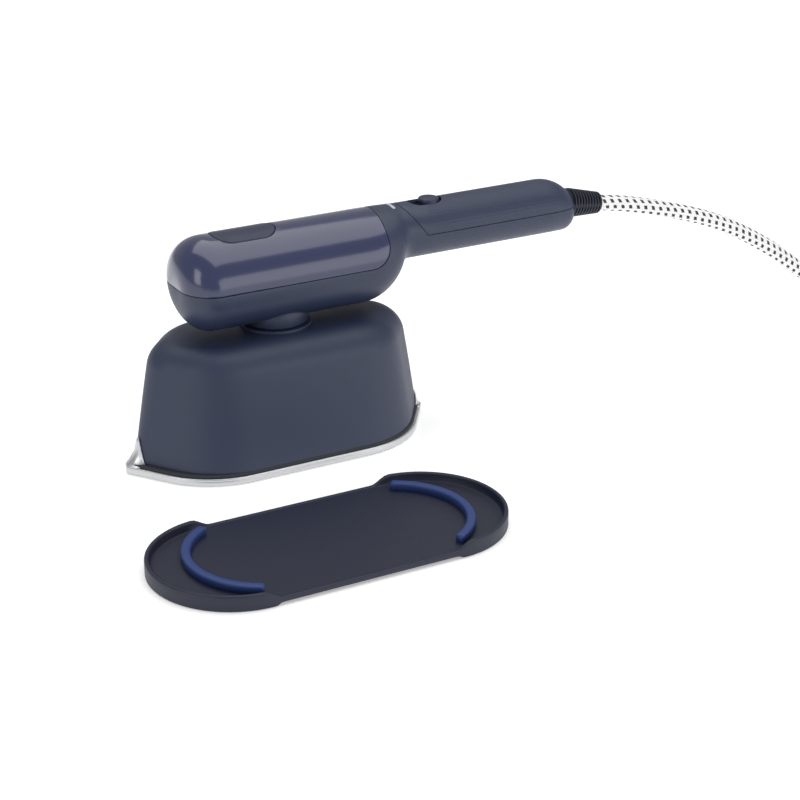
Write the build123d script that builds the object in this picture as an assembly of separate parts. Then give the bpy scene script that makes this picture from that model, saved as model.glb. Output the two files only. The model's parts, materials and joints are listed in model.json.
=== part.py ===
from build123d import *
from math import cos, degrees, pi, radians, sin, sqrt, tan
import os

# Travel steam iron with a swivelling tank handle, its mains cord and its rest tray.
# Millimetres. X runs from the nose to the cord, Z is up, and z = 0 is the face of the sole.

# Sole plate
SOLE_LENGTH = 154.6
SOLE_WIDTH = 74.2
SOLE_SIDE_R = 43.0
SOLE_TIP_R = 4.0
SOLE_THICK = 3.6
SIDE_SHARE = 0.675            # where the long side's corner stands, as a share of the half length
TIP_LOSS = 0.2                # how far a point recedes when it is rounded, per radius
STEAM_HOLE_R = 1.5
SEAL_THICK = 1.5

# Cover of the sole unit
COVER_X = 0.9                 # the cover sits this far behind the middle of the plate
COVER_BOTTOM = SOLE_THICK + SEAL_THICK
COVER_TOP = 60.3
COVER_HALF_LENGTH = 64.2      # of the sloping sides, carried up to the top
COVER_HALF_WIDTH = 28.6
COVER_TIP_SLOPE = 0.165
COVER_SIDE_SLOPE = 0.135
COVER_ROUND = 12.0
COVER_WALL = 2.2

# Tank and handle
BODY_R = 22.1
BODY_Z = 85.5
NOSE_X = -50.2
NOSE_ROUND = 16.0
HANDLE_R = 13.4
HANDLE_TOP = 107.5
HANDLE_Z = HANDLE_TOP - HANDLE_R
HANDLE_END = 160.5
REAR_X = 41.0                 # where the housing's round rear starts
NECK_ROUND = 7.0              # hollow between the housing and the handle
CURL_X = 143.0                # where the handle's top starts to curl down
CURL_R = 20.9
HEEL_X = 154.5                # where its bottom starts to curl up
HEEL_R = 6.5
SEAM_TURN = 125.0             # turns the sections' start point away from every cut
SHELL = 2.0
SEAM_Z = 85.7
SEAM_X = 50.3
SEAM_ROUND = 10.0
SEAM_GAP = 0.4

# Pivot
NECK_R = 15.0
NECK_Z = 61.8
SOCKET_FLANGE_R = 17.0
SPINDLE_R = 8.0
SPINDLE_BORE = 5.5
RUNNING_GAP = 0.05
BODY_GAP = 0.3                # between pieces of different bodies

# Tray
TRAY_X = -28.5
TRAY_Y = -109.7
TRAY_LENGTH = 165.0
TRAY_WIDTH = 76.0
TRAY_RIM = 7.2
TRAY_FLOOR = 3.2
TRAY_UNDER = 1.2
TRAY_WALL = 2.0
RAMP_LOW = 41.5               # where the rim's ramp starts, from the middle of the tray
RAMP_HIGH = 48.5
STRIP_X = 30.0                # centre of each strip's arc, from the middle of the tray
STRIP_R = 34.2
STRIP_WIDTH = 4.0
STRIP_TOP = 7.0
STRIP_HALF_ANGLE = 62.5

# Cord. It is free from the boot to the plug, and the stretch that isn't in use is coiled.
CORD_D = 8.0
COIL_INNER_R = 32.0           # of the cord's own line
COIL_OUTER_R = 56.0
COIL_X = 386.0
COIL_Y = -5.0 - COIL_OUTER_R
CORD_ROUTE = (
    (177.8, 0.0, 90.8),
    (189.5, 0.0, 89.0),
    (212.0, -0.3, 83.3),
    (236.5, -0.8, 76.0),
    (261.0, -1.6, 66.0),
    (288.0, -2.8, 50.0),
    (313.0, -4.0, 31.0),
    (337.0, -4.8, 14.0),
    (362.0, -5.0, CORD_D / 2),
    (COIL_X, -5.0, CORD_D / 2),
)
TIE_ANGLE = 205.0
TIE_WIDTH = 12.0
TIE_THICK = 1.2
TAIL_X = COIL_X + COIL_OUTER_R - 2.0
TAIL_ROUTE = (
    (TAIL_X, COIL_Y, CORD_D * 1.5),
    (TAIL_X + 1.0, COIL_Y - 18.0, 12.3),
    (TAIL_X, COIL_Y - 37.0, 14.2),
    (TAIL_X - 2.0, COIL_Y - 56.0, 17.8),
)

# Mains plug
PLUG_X = TAIL_X - 2.0
PLUG_Y = COIL_Y - 56.0
PLUG_HEAD_R = 18.0
PIN_R = 2.4
PIN_LENGTH = 19.0
PIN_SPACING = 19.0
PIN_ROOT_R = 2.0
PIN_ROOT = 10.5               # the root's length, of which 0.5 stands out of the plug

parts = {}


def cylinder_z(radius, low, high, x=0.0, y=0.0):
    return Pos(x, y, low) * extrude(Circle(radius), high - low)


def cylinder_x(radius, x0, x1, y=0.0, z=0.0):
    return Pos(x0, y, z) * Rot(0, 90, 0) * Rot(0, 0, 125) * extrude(Circle(radius), x1 - x0)


def block(x0, x1, y0, y1, z0, z1):
    return Pos((x0 + x1) / 2, (y0 + y1) / 2, (z0 + z1) / 2) * Box(x1 - x0, y1 - y0, z1 - z0)


def oblong(length, width, low, high, x=0.0, y=0.0, turn=0.0):
    """Upright prism with round ends, its long side along X before turning."""
    return Pos(x, y, low) * Rot(0, 0, turn) * extrude(SlotOverall(length, width), high - low)


def pipe(points, radii, radius, bore=0.0):
    """Round tube along straight runs joined by tangent arcs."""
    if radii:
        path = FilletPolyline(*points, radius=radii)
    else:
        path = Line(*points)
    section = Plane(origin=path @ 0, z_dir=path % 0)
    outer = sweep(section * Circle(radius), path=path)
    if bore:
        outer -= sweep(section * Circle(bore), path=path)
    return outer


def route_radii(points):
    """Largest arc that each corner's two runs allow."""
    radii = []
    for before, here, after in zip(points, points[1:], points[2:]):
        run_in = Vector(*here) - Vector(*before)
        run_out = Vector(*after) - Vector(*here)
        turn = radians(run_in.get_angle(run_out))
        radii.append(0.45 * min(run_in.length, run_out.length) / tan(turn / 2))
    return radii


def screw(x, y, head_z, length, shaft_r, head_r, head_h, up=False):
    """Pan head screw with its shaft below the head, or above it when up is true."""
    shaft = cylinder_z(shaft_r, -length, 0.0)
    head = cylinder_z(head_r, 0.0, head_h)
    head = fillet(head.edges().sort_by(Axis.Z)[-1], head_h * 0.4)
    slot = block(-head_r, head_r, -head_r * 0.14, head_r * 0.14, head_h * 0.5, head_h + 1)
    cross = slot + Rot(0, 0, 90) * slot
    piece = shaft + (head - cross)
    if up:
        piece = Rot(180, 0, 0) * piece
    return Pos(x, y, head_z) * piece


def hexagon(half_length, half_width, side_r, tip_r):
    """Six-sided outline with blunt points on X and all corners rounded."""
    side_x = half_length * SIDE_SHARE
    point_x = half_length + TIP_LOSS * tip_r
    corners = [
        (point_x, 0),
        (side_x, half_width),
        (-side_x, half_width),
        (-point_x, 0),
        (-side_x, -half_width),
        (side_x, -half_width),
    ]
    outline = Polygon(*corners, align=None)
    sides = [corner for corner in outline.vertices() if abs(corner.Y) > 1.0]
    outline = fillet(sides, side_r)
    by_x = outline.vertices().sort_by(Axis.X)
    return fillet([by_x[0], by_x[-1]], tip_r)


def hexagon_prism(half_length, half_width, side_r, tip_r, low, high, x=0.0):
    return Pos(x, 0, low) * extrude(hexagon(half_length, half_width, side_r, tip_r), high - low)


def cover_body(wall, bottom):
    """Solid inside the cover's outer face, or inside its wall: sloping sides and a rolled shoulder."""
    top = COVER_TOP - wall
    fall = top - bottom
    low = hexagon(
        COVER_HALF_LENGTH + COVER_TIP_SLOPE * fall - wall,
        COVER_HALF_WIDTH + COVER_SIDE_SLOPE * fall - wall,
        40 - wall,
        5,
    )
    high = hexagon(COVER_HALF_LENGTH - wall, COVER_HALF_WIDTH - wall, 28 - wall, 17 - wall)
    body = loft([Pos(COVER_X, 0, bottom) * low, Pos(COVER_X, 0, top) * high], ruled=True)
    upper_edges = body.faces().sort_by(Axis.Z)[-1].edges()
    return fillet(upper_edges, COVER_ROUND - wall)


def body_top(x):
    """Height of the top line, which eases up from the tank to the handle and curls down at its end."""
    if x > CURL_X:
        return HANDLE_TOP - CURL_R + sqrt(CURL_R**2 - (x - CURL_X) ** 2)
    share = min(max((x - REAR_X) / 30.0, 0.0), 1.0)
    ease = share * share * (3 - 2 * share)
    return BODY_Z + BODY_R + ease * (HANDLE_TOP - BODY_Z - BODY_R)


def body_bottom(x):
    """Height of the bottom line: round rear of the housing, hollow neck, handle, and its round end."""
    handle_bottom = HANDLE_TOP - 2 * HANDLE_R
    neck_z = handle_bottom - NECK_ROUND
    neck_x = REAR_X + sqrt((BODY_R + NECK_ROUND) ** 2 - (BODY_Z - neck_z) ** 2)
    meet_x = REAR_X + (neck_x - REAR_X) * BODY_R / (BODY_R + NECK_ROUND)
    if x <= meet_x:
        return BODY_Z - sqrt(BODY_R**2 - max(x - REAR_X, 0.0) ** 2)
    if x <= neck_x:
        return neck_z + sqrt(NECK_ROUND**2 - (x - neck_x) ** 2)
    heel = max(x - HEEL_X, 0.0)
    return handle_bottom + HEEL_R - sqrt(HEEL_R**2 - heel**2)


def round_section(x, wall, shift=0.0):
    """Circle across X between the top and bottom lines, inside them by the wall."""
    radius = (body_top(x) - body_bottom(x)) / 2
    centre = Pos(x - shift, 0, body_top(x) - radius)
    return centre * Rot(0, 90, 0) * Rot(0, 0, SEAM_TURN) * Circle(radius - wall)


def even_stations(start, stop, count):
    return [start + (stop - start) * number / (count - 1) for number in range(count)]


def handle_body(wall):
    """Solid inside the outer face of tank, housing and handle, or inside their walls."""
    nose = cylinder_x(BODY_R - wall, NOSE_X + wall, 40.0, z=BODY_Z)
    nose = fillet(nose.edges().sort_by(Axis.X)[0], NOSE_ROUND - wall)
    rear = loft([round_section(x, wall) for x in even_stations(40.0, 76.0, 19)])
    grip = cylinder_x(HANDLE_R - wall, 76.0, 139.0, z=HANDLE_Z)
    run = HANDLE_END - 139.0
    end = loft([
        round_section(x, wall, wall * (x - 139.0) / run) for x in even_stations(139.0, HANDLE_END, 16)
    ])
    return nose + rear + grip + end


def tank_zone(inset):
    """Space above the side seam and ahead of the rear seam, with a round lower rear corner."""
    zone = block(NOSE_X - 10, SEAM_X - inset, -40, 40, SEAM_Z + inset, 130)
    corner = zone.edges().filter_by(Axis.Y).sort_by(Axis.Z)[:2].sort_by(Axis.X)[-1]
    return fillet(corner, SEAM_ROUND - inset * 0.5)


def top_cover_zone(inset):
    """Space above the handle's middle and behind the slanted seam."""
    seam_z = HANDLE_Z + inset
    slant = 0.72
    front_low = 74.0 + inset
    rise = 130 - seam_z
    outline = Polygon(
        (front_low, seam_z),
        (200, seam_z),
        (200, 130),
        (front_low - slant * rise, 130),
        align=None,
    )
    return extrude(Plane.XZ * outline, 40, both=True)


# --- Sole unit -------------------------------------------------------------------------------

def steam_hole_places():
    places = [(-24.0, 0.0), (28.0, 0.0), (2.0, 0.0)]
    for side in (-1, 1):
        places += [(x, side * 9.0) for x in (-15.0, -6.5, 10.5, 19.0)]
    return places


def make_soleplate():
    plate = hexagon_prism(SOLE_LENGTH / 2, SOLE_WIDTH / 2, SOLE_SIDE_R, SOLE_TIP_R, 0, SOLE_THICK)
    bottom = plate.faces().sort_by(Axis.Z)[0]
    plate = chamfer(bottom.edges(), 0.7)
    for x, y in steam_hole_places():
        plate -= cylinder_z(STEAM_HOLE_R, -1, SOLE_THICK + 1, x, y)
    return plate


CASTING_TOP = 13.0
ELEMENT_R = 3.3
ELEMENT_Z = 9.3
ELEMENT_Y = 21.0
CHAMBER_FLOOR = 6.4
POSTS = ((-56.0, 0.0), (52.0, 14.0), (52.0, -14.0))
LID_SCREW_X = (-34.0, 38.0)
LID_SCREW_Y = 13.5
THERMOSTAT_X = 57.0


def make_heating_element():
    legs = [
        (44, ELEMENT_Y, 27),
        (44, ELEMENT_Y, ELEMENT_Z),
        (-46, ELEMENT_Y, ELEMENT_Z),
        (-46, -ELEMENT_Y, ELEMENT_Z),
        (44, -ELEMENT_Y, ELEMENT_Z),
        (44, -ELEMENT_Y, 27),
    ]
    return pipe(legs, [7, 20.4, 20.4, 7], ELEMENT_R)


def make_heater_casting(element):
    casting = hexagon_prism(66, 30, 36, 8, SOLE_THICK, CASTING_TOP)
    casting -= oblong(70, 28, CHAMBER_FLOOR, CASTING_TOP + 1, 2)
    for x in (-11.0, 15.0):
        casting += block(x - 1.2, x + 1.2, -14.2, 8.0, CHAMBER_FLOOR, CASTING_TOP)
    for x in (-2.0, 6.0):
        casting += block(x - 1.2, x + 1.2, -8.0, 14.2, CHAMBER_FLOOR, CASTING_TOP)
    for x, y in steam_hole_places():
        casting -= cylinder_z(STEAM_HOLE_R, SOLE_THICK - 1, CHAMBER_FLOOR + 1, x, y)
    for x, y in POSTS:
        casting += cylinder_z(3.6, CASTING_TOP - 1, 22.0, x, y)
        casting -= cylinder_z(1.6, 12.0, 23.0, x, y)
    for x in LID_SCREW_X:
        for side in (-1, 1):
            casting -= cylinder_z(1.6, 8.0, CASTING_TOP + 1, x, side * LID_SCREW_Y)
    casting -= element
    for side in (-1, 1):
        casting -= cylinder_z(ELEMENT_R + 0.2, CASTING_TOP - 1.2, 40, 44, side * ELEMENT_Y)
    return casting


def lid_outline(low, high):
    plate = block(-39, 43, -17, 17, low, high)
    plate = fillet(plate.edges().filter_by(Axis.Z), 5)
    for x in LID_SCREW_X:
        for side in (-1, 1):
            plate -= cylinder_z(1.8, low - 1, high + 1, x, side * LID_SCREW_Y)
    return plate


GASKET_TOP = CASTING_TOP + 0.8
LID_TOP = GASKET_TOP + 1.4
SPIGOT_TOP = 27.0


def make_chamber_gasket():
    return lid_outline(CASTING_TOP, GASKET_TOP) - oblong(69, 27, 0, 40, 2)


def make_chamber_lid():
    lid = lid_outline(GASKET_TOP, LID_TOP)
    lid += cylinder_z(2.6, LID_TOP - 0.5, SPIGOT_TOP)
    lid += cylinder_z(3.0, 24.0, 25.0)
    return lid - cylinder_z(1.5, GASKET_TOP - 1, SPIGOT_TOP + 1)


def make_lid_screws():
    return [
        screw(x, side * LID_SCREW_Y, LID_TOP, 6.5, 1.5, 2.8, 1.9)
        for x in LID_SCREW_X
        for side in (-1, 1)
    ]


SHIELD_Z = 19.5
FRAME_LOW = 22.0
FRAME_HIGH = 24.6


def shield_cutouts(low, high):
    """Holes for the posts, the element's ends, the hose and the thermostat."""
    cuts = cylinder_z(4.2, low, high)
    for side in (-1, 1):
        cuts += cylinder_z(ELEMENT_R + 1.2, low, high, 44, side * ELEMENT_Y)
    return cuts + cylinder_z(7.4, low, high, THERMOSTAT_X, 0)


def make_heat_shield():
    sheet = hexagon_prism(65, 28, 32, 6, SHIELD_Z, SHIELD_Z + 0.6)
    sheet -= shield_cutouts(SHIELD_Z - 1, SHIELD_Z + 2)
    sheet -= block(48, 80, -40, 40, SHIELD_Z - 1, SHIELD_Z + 2)
    for x, y in POSTS:
        sheet -= cylinder_z(3.8, SHIELD_Z - 1, SHIELD_Z + 2, x, y)
    return sheet


def make_carrier_frame():
    frame = hexagon_prism(63, 27.5, 34, 12, FRAME_LOW, FRAME_HIGH, COVER_X)
    frame += (
        hexagon_prism(63, 27.5, 34, 12, FRAME_HIGH - 0.5, 33, COVER_X)
        - hexagon_prism(60.5, 25.5, 32, 11, FRAME_HIGH - 1, 34, COVER_X)
    )
    frame -= block(34, 80, -40, 40, FRAME_HIGH, 40)
    frame -= block(-80, -46, -40, 40, FRAME_HIGH, 40)
    frame -= shield_cutouts(FRAME_LOW - 1, FRAME_HIGH + 1)
    for x, y in POSTS:
        frame -= cylinder_z(1.8, FRAME_LOW - 1, FRAME_HIGH + 1, x, y)
    return frame


def make_carrier_screws():
    return [screw(x, y, FRAME_HIGH, 10.0, 1.5, 3.0, 2.0) for x, y in POSTS]


def make_sole_seal():
    outer = hexagon_prism(SOLE_LENGTH / 2 - 1.3, SOLE_WIDTH / 2 - 0.8, 42, 4, SOLE_THICK, COVER_BOTTOM)
    inner = hexagon_prism(SOLE_LENGTH / 2 - 8.0, SOLE_WIDTH / 2 - 5.5, 37, 4, 0, 20)
    return outer - inner


def make_thermostat():
    can = cylinder_z(6.6, CASTING_TOP, 18.0, THERMOSTAT_X)
    can += cylinder_z(5.2, 17.5, 26.0, THERMOSTAT_X)
    for side in (-1, 1):
        can += block(THERMOSTAT_X - 2.5, THERMOSTAT_X + 2.5, side * 3 - 0.4, side * 3 + 0.4, 25.5, 31.0)
    return can


def make_thermal_fuse():
    fuse = Pos(18, -9.5, LID_TOP + 2.0) * Rot(0, 90, 0) * Cylinder(2.0, 12)
    for side in (-1, 1):
        fuse += Pos(18 + side * 9, -9.5, LID_TOP + 2.0) * Rot(0, 90, 0) * Cylinder(0.5, 7)
    return fuse


def make_terminal_block():
    body = block(14, 36, -8, 8, FRAME_HIGH, 34)
    body = fillet(body.edges().filter_by(Axis.Z), 1.5)
    for y in (-5.0, 0.0, 5.0):
        body -= cylinder_x(1.5, 13, 37, y, 30)
        body -= cylinder_z(1.3, 30, 35, 20, y)
        body -= cylinder_z(1.3, 30, 35, 30, y)
    return body


def make_heater_leads():
    leads = []
    for side in (-1, 1):
        points = [
            (44, side * ELEMENT_Y, 27),
            (44, side * ELEMENT_Y, 34),
            (46, side * 5, 34),
            (46, side * 5, 30),
            (31, side * 5, 30),
        ]
        leads.append(pipe(points, [3, 1.8, 1.8], 1.0))
    return leads


def make_base_cover():
    cover = cover_body(0.0, COVER_BOTTOM) - cover_body(COVER_WALL, COVER_BOTTOM - 3)
    return cover - cylinder_z(13.1, COVER_TOP - 10, COVER_TOP + 5)


SOCKET_TOP = NECK_Z - BODY_GAP
SOCKET_LOW = 44.0


def make_pivot_socket():
    socket = cylinder_z(SOCKET_FLANGE_R, COVER_TOP, SOCKET_TOP)
    socket = fillet(socket.edges().sort_by(Axis.Z)[-1], 0.4)
    socket += cylinder_z(13.0, SOCKET_LOW, COVER_TOP + 0.2)
    return socket - cylinder_z(SPINDLE_R + RUNNING_GAP, SOCKET_LOW - 1, SOCKET_TOP + 1)


def make_socket_nut():
    under = COVER_TOP - COVER_WALL
    nut = Pos(0, 0, under - 5.0) * extrude(RegularPolygon(17.5, 6), 4.9)
    return nut - cylinder_z(13.1, under - 6, under + 1)


def make_inlet_hose():
    return cylinder_z(4.0, LID_TOP + 0.4, 35.0) - cylinder_z(3.05, 0, 40)


def make_sole_unit():
    element = make_heating_element()
    parts["soleplate"] = make_soleplate()
    parts["heater_casting"] = make_heater_casting(element)
    parts["heating_element"] = element
    parts["chamber_gasket"] = make_chamber_gasket()
    parts["steam_chamber_lid"] = make_chamber_lid()
    parts["lid_screws"] = make_lid_screws()
    parts["inlet_hose"] = make_inlet_hose()
    parts["sole_seal"] = make_sole_seal()
    parts["heat_shield"] = make_heat_shield()
    parts["carrier_frame"] = make_carrier_frame()
    parts["carrier_screws"] = make_carrier_screws()
    parts["thermostat"] = make_thermostat()
    parts["thermal_fuse"] = make_thermal_fuse()
    parts["terminal_block"] = make_terminal_block()
    parts["heater_leads"] = make_heater_leads()
    parts["base_cover"] = make_base_cover()
    parts["pivot_socket"] = make_pivot_socket()
    parts["socket_nut"] = make_socket_nut()


# --- Handle unit -----------------------------------------------------------------------------

FLOOR_TOP = 65.0
FILLER_X = -18.5
FILLER_R = 4.4
PLUG_STEM_R = 3.2
ANCHOR_X = -5.5
OUTLET_X = 34.0
SLOT_X = 79.4
SLOT_LENGTH = 17.2
SLOT_WIDTH = 10.0
LENS_X = 60.9
LENS_LENGTH = 9.0
LENS_WIDTH = 1.7
SCREW_POSTS = ((104.0, 0.0), (129.0, 0.0))
CLAMP_X = 145.0
CLAMP_SCREW_Y = 6.2
BOOT_X = 160.0
BOOT_Z = 93.4
CORD_STRIP_X = 136.0          # where the cord's jacket ends inside the handle
ROOT_R = 5.9


def make_main_housing(outer, inner):
    housing = outer - inner
    housing -= tank_zone(0.0)
    housing -= top_cover_zone(0.0)
    neck = cylinder_z(NECK_R, NECK_Z, BODY_Z - 13.5)
    neck = fillet(neck.edges().sort_by(Axis.Z)[0], 0.6)
    housing += neck
    housing -= cylinder_z(NECK_R - 1.5, FLOOR_TOP, BODY_Z)
    housing -= block(-20, 20, -8, 8, FLOOR_TOP + 2.5, BODY_Z)
    housing -= cylinder_z(SPINDLE_R + 0.1, NECK_Z - 1, FLOOR_TOP + 1)
    for angle in (0, 120, 240):
        x = 11.0 * cos(radians(angle))
        y = 11.0 * sin(radians(angle))
        housing -= cylinder_z(1.0, NECK_Z + 1.2, FLOOR_TOP + 1, x, y)
    lens_cut = oblong(LENS_LENGTH, LENS_WIDTH, HANDLE_TOP - 6, HANDLE_TOP + 3, LENS_X, 0, 90)
    housing -= lens_cut
    for x, y in SCREW_POSTS:
        housing += (cylinder_z(3.2, 80, 87.5, x, y) & outer)
        housing -= cylinder_z(1.6, 75, 90, x, y)
        housing -= cylinder_z(2.9, 75, 84.2, x, y)
    for side in (-1, 1):
        y = side * CLAMP_SCREW_Y
        housing += cylinder_z(2.0, 82, BOOT_Z + 3.0, CLAMP_X, y) & outer
        housing -= cylinder_z(1.0, 91, 100, CLAMP_X, y)
    housing -= cylinder_x(ROOT_R + 0.3, HANDLE_END - 7, HANDLE_END + 10, z=BOOT_Z)
    return housing


def make_handle_top_cover(outer, inner):
    cover = (outer - inner) & top_cover_zone(SEAM_GAP * 0.6)
    cover -= oblong(SLOT_LENGTH, SLOT_WIDTH, 98, HANDLE_TOP + 5, SLOT_X)
    for x, y in SCREW_POSTS[1:]:
        post = cylinder_z(3.0, 92.0, HANDLE_TOP - SHELL + 0.3, x, y)
        cover += post - cylinder_z(1.3, 90, 102, x, y)
    return cover - cylinder_x(ROOT_R + 0.3, HANDLE_END - 7, HANDLE_END + 10, z=BOOT_Z)


def make_water_tank(outer, inner):
    shell = outer & tank_zone(SEAM_GAP)
    hollow = inner & tank_zone(SEAM_GAP + SHELL)
    tank = shell - hollow
    tank -= plug_prism(0.35) - cylinder_x(BODY_R - PLUG_RECESS, -40, 10, z=BODY_Z)
    tank -= cylinder_z(FILLER_R, BODY_Z + 10, 120, FILLER_X)
    tank -= cylinder_z(1.5, BODY_Z + 10, 120, ANCHOR_X)
    return tank - cylinder_z(2.5, SEAM_Z - 1, SEAM_Z + 4, OUTLET_X)


PLUG_FRONT = -31.0
PLUG_HINGE = -9.4
PLUG_REAR = -0.2
PLUG_WIDTH = 18.8
PLUG_THICK = 1.2
PLUG_LIFT = -1.15
PLUG_RECESS = 1.2


def plug_prism(gap):
    length = PLUG_REAR - PLUG_FRONT + 2 * gap
    outline = RectangleRounded(length, PLUG_WIDTH + 2 * gap, 8.5 + gap)
    return Pos((PLUG_FRONT + PLUG_REAR) / 2, 0, BODY_Z) * extrude(outline, 40)


def plug_plate():
    """Curved plate that follows the top of the tank."""
    prism = plug_prism(0.0)
    low = cylinder_x(BODY_R + PLUG_LIFT, PLUG_FRONT - 5, PLUG_REAR + 5, z=BODY_Z)
    high = cylinder_x(BODY_R + PLUG_LIFT + PLUG_THICK, PLUG_FRONT - 5, PLUG_REAR + 5, z=BODY_Z)
    return prism & (high - low)


def make_filler_plug():
    plate = plug_plate() & block(PLUG_FRONT - 1, PLUG_HINGE, -20, 20, BODY_Z, 130)
    stem_top = BODY_Z + BODY_R + PLUG_LIFT + 0.5
    stem = Pos(FILLER_X, 0, stem_top) * extrude(Circle(PLUG_STEM_R), -5.5, taper=7)
    stem -= cylinder_z(1.4, stem_top - 8, stem_top - 2, FILLER_X)
    notch = block(PLUG_FRONT - 1, PLUG_FRONT + 1.6, -4.5, 4.5, BODY_Z, 130)
    return (plate - notch) + stem


def make_plug_anchor():
    plate = plug_plate() & block(PLUG_HINGE + 0.3, PLUG_REAR + 1, -20, 20, BODY_Z, 130)
    seat = block(PLUG_HINGE + 0.8, PLUG_REAR - 1.5, -4, 4, BODY_Z + BODY_R - 3, BODY_Z + BODY_R - 0.5)
    floor_r = BODY_R - PLUG_RECESS
    ring = cylinder_x(floor_r + 0.4, -20, 5, z=BODY_Z) - cylinder_x(floor_r + 0.02, -20, 5, z=BODY_Z)
    pin = cylinder_z(1.45, BODY_Z + BODY_R - 4.5, BODY_Z + BODY_R - 0.6, ANCHOR_X)
    barb = Pos(ANCHOR_X, 0, BODY_Z + BODY_R - 5.4) * extrude(Circle(1.3), 2.6, taper=-12)
    return plate + (seat & ring) + pin + barb


def make_tank_outlet_seal():
    ring = cylinder_z(5.0, SEAM_Z - 2.2, SEAM_Z + SEAM_GAP, OUTLET_X)
    return ring - cylinder_z(2.5, SEAM_Z - 3, SEAM_Z + 2, OUTLET_X)


def make_pivot_spindle():
    spindle = cylinder_z(SPINDLE_R, 40.0, FLOOR_TOP + 1)
    spindle += cylinder_z(13.2, FLOOR_TOP, FLOOR_TOP + 2.0)
    groove = cylinder_z(SPINDLE_R + 1, 41.6, 42.8) - cylinder_z(SPINDLE_R - 0.9, 41, 43)
    spindle -= groove
    spindle -= cylinder_z(SPINDLE_BORE, 39, FLOOR_TOP + 3)
    for angle in (0, 120, 240):
        x = 11.0 * cos(radians(angle))
        y = 11.0 * sin(radians(angle))
        spindle -= cylinder_z(1.2, FLOOR_TOP - 1, FLOOR_TOP + 3, x, y)
    return spindle


def make_spindle_screws():
    screws = []
    for angle in (0, 120, 240):
        x = 11.0 * cos(radians(angle))
        y = 11.0 * sin(radians(angle))
        screws.append(screw(x, y, FLOOR_TOP + 2.0, 3.8, 0.95, 1.9, 1.2))
    return screws


def make_friction_washer():
    return cylinder_z(10.6, 42.9, 43.7) - cylinder_z(SPINDLE_R + 0.05, 42, 45)


def make_pivot_retainer():
    ring = cylinder_z(11.0, 41.6, 42.8) - cylinder_z(SPINDLE_R - 0.85, 41, 44)
    return ring - block(5, 14, -3.0, 3.0, 41, 44)


PUMP_Z = 77.0
PUMP_R = 7.0


def make_pump():
    pump = cylinder_x(PUMP_R, -30, -4, z=PUMP_Z)
    pump = fillet(pump.edges(), 1.2)
    pump += cylinder_x(3.6, -34, -30, z=PUMP_Z) + cylinder_x(3.6, -4, 1.0, z=PUMP_Z)
    return pump + cylinder_x(1.6, 0.5, 6.0, z=PUMP_Z) + cylinder_x(1.6, -39, -33.5, z=PUMP_Z)


def make_delivery_hose():
    points = [(6.0, 0, PUMP_Z), (10.5, 0, PUMP_Z), (10.5, 5.5, 73.0), (0, 2.0, 70.5), (0, 0, 64), (0, 0, 37)]
    return pipe(points, [1.9, 2.4, 2.2, 4], 1.7, 0.9)


def make_suction_hose():
    points = [
        (OUTLET_X, 0, SEAM_Z - 2.2),
        (OUTLET_X, 0, 79.0),
        (OUTLET_X - 6, 11, 75.9),
        (-20, 12.5, 73.9),
        (-43, 8, PUMP_Z),
        (-43, 0, PUMP_Z),
        (-39.0, 0, PUMP_Z),
    ]
    return pipe(points, [3, 5, 8, 3.2, 1.7], 1.7, 0.9)


BOARD_Z = 87.9


def make_circuit_board():
    board = block(93, 122, -7.6, 7.6, BOARD_Z, BOARD_Z + 1.6)
    for x, y in SCREW_POSTS:
        board -= cylinder_z(3.6, BOARD_Z - 1, BOARD_Z + 3, x, y)
    board += cylinder_z(3.0, BOARD_Z + 1.5, BOARD_Z + 7, 98, -3)
    board += block(108.5, 112.5, 0, 6, BOARD_Z + 1.5, BOARD_Z + 5)
    return board + block(114, 121, -5, 5, BOARD_Z + 1.5, BOARD_Z + 4.5)


def make_indicator_lens():
    lens = oblong(LENS_LENGTH - 0.1, LENS_WIDTH - 0.1, HANDLE_TOP - 4.2, HANDLE_TOP + 2, LENS_X, 0, 90)
    top = cylinder_x(HANDLE_R + 3.9, LENS_X - 5, LENS_X + 5, z=body_top(LENS_X) - HANDLE_R - 3.9)
    return lens & top


def make_indicator_led():
    led = cylinder_z(1.5, HANDLE_TOP - 9.5, HANDLE_TOP - 5.0, LENS_X)
    led = fillet(led.edges().sort_by(Axis.Z)[-1], 1.2)
    for y in (-0.7, 0.7):
        led += cylinder_z(0.25, HANDLE_TOP - 14, HANDLE_TOP - 9.4, LENS_X, y)
    return led


SWITCH_FLOOR = 104.2
KNOB_X = 81.6
KNOB_R = 5.3
KNOB_TRAVEL = 5.0


def make_switch_surround():
    plate = oblong(SLOT_LENGTH - 0.1, SLOT_WIDTH - 0.1, 102.2, SWITCH_FLOOR, SLOT_X)
    flange = oblong(SLOT_LENGTH + 2.2, SLOT_WIDTH + 1.0, 101.2, 102.3, SLOT_X)
    travel = oblong(KNOB_TRAVEL + 4.4, 3.8, 100, 106, KNOB_X - KNOB_TRAVEL / 2)
    return plate + flange - travel


def make_switch_knob():
    knob = cylinder_z(KNOB_R - 0.6, SWITCH_FLOOR + BODY_GAP, 108.4, KNOB_X)
    knob = fillet(knob.edges().sort_by(Axis.Z)[-1], 1.0)
    stem = block(KNOB_X - 1.5, KNOB_X + 1.5, -1.5, 1.5, 98.8, SWITCH_FLOOR + 1)
    return knob + stem


def make_switch_body():
    body = block(72, 92, -4.2, 4.2, 91.5, 98.4)
    return fillet(body.edges().filter_by(Axis.Z), 1.0)


def make_cord_clamp():
    saddle = block(CLAMP_X - 3, CLAMP_X + 3, -8.2, 8.2, BOOT_Z + 3.0, BOOT_Z + 5.6)
    saddle -= cylinder_x(CORD_D / 2 + 0.02, CLAMP_X - 6, CLAMP_X + 6, z=BOOT_Z)
    for side in (-1, 1):
        saddle -= cylinder_z(1.1, 90, 110, CLAMP_X, side * CLAMP_SCREW_Y)
    return saddle


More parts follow.
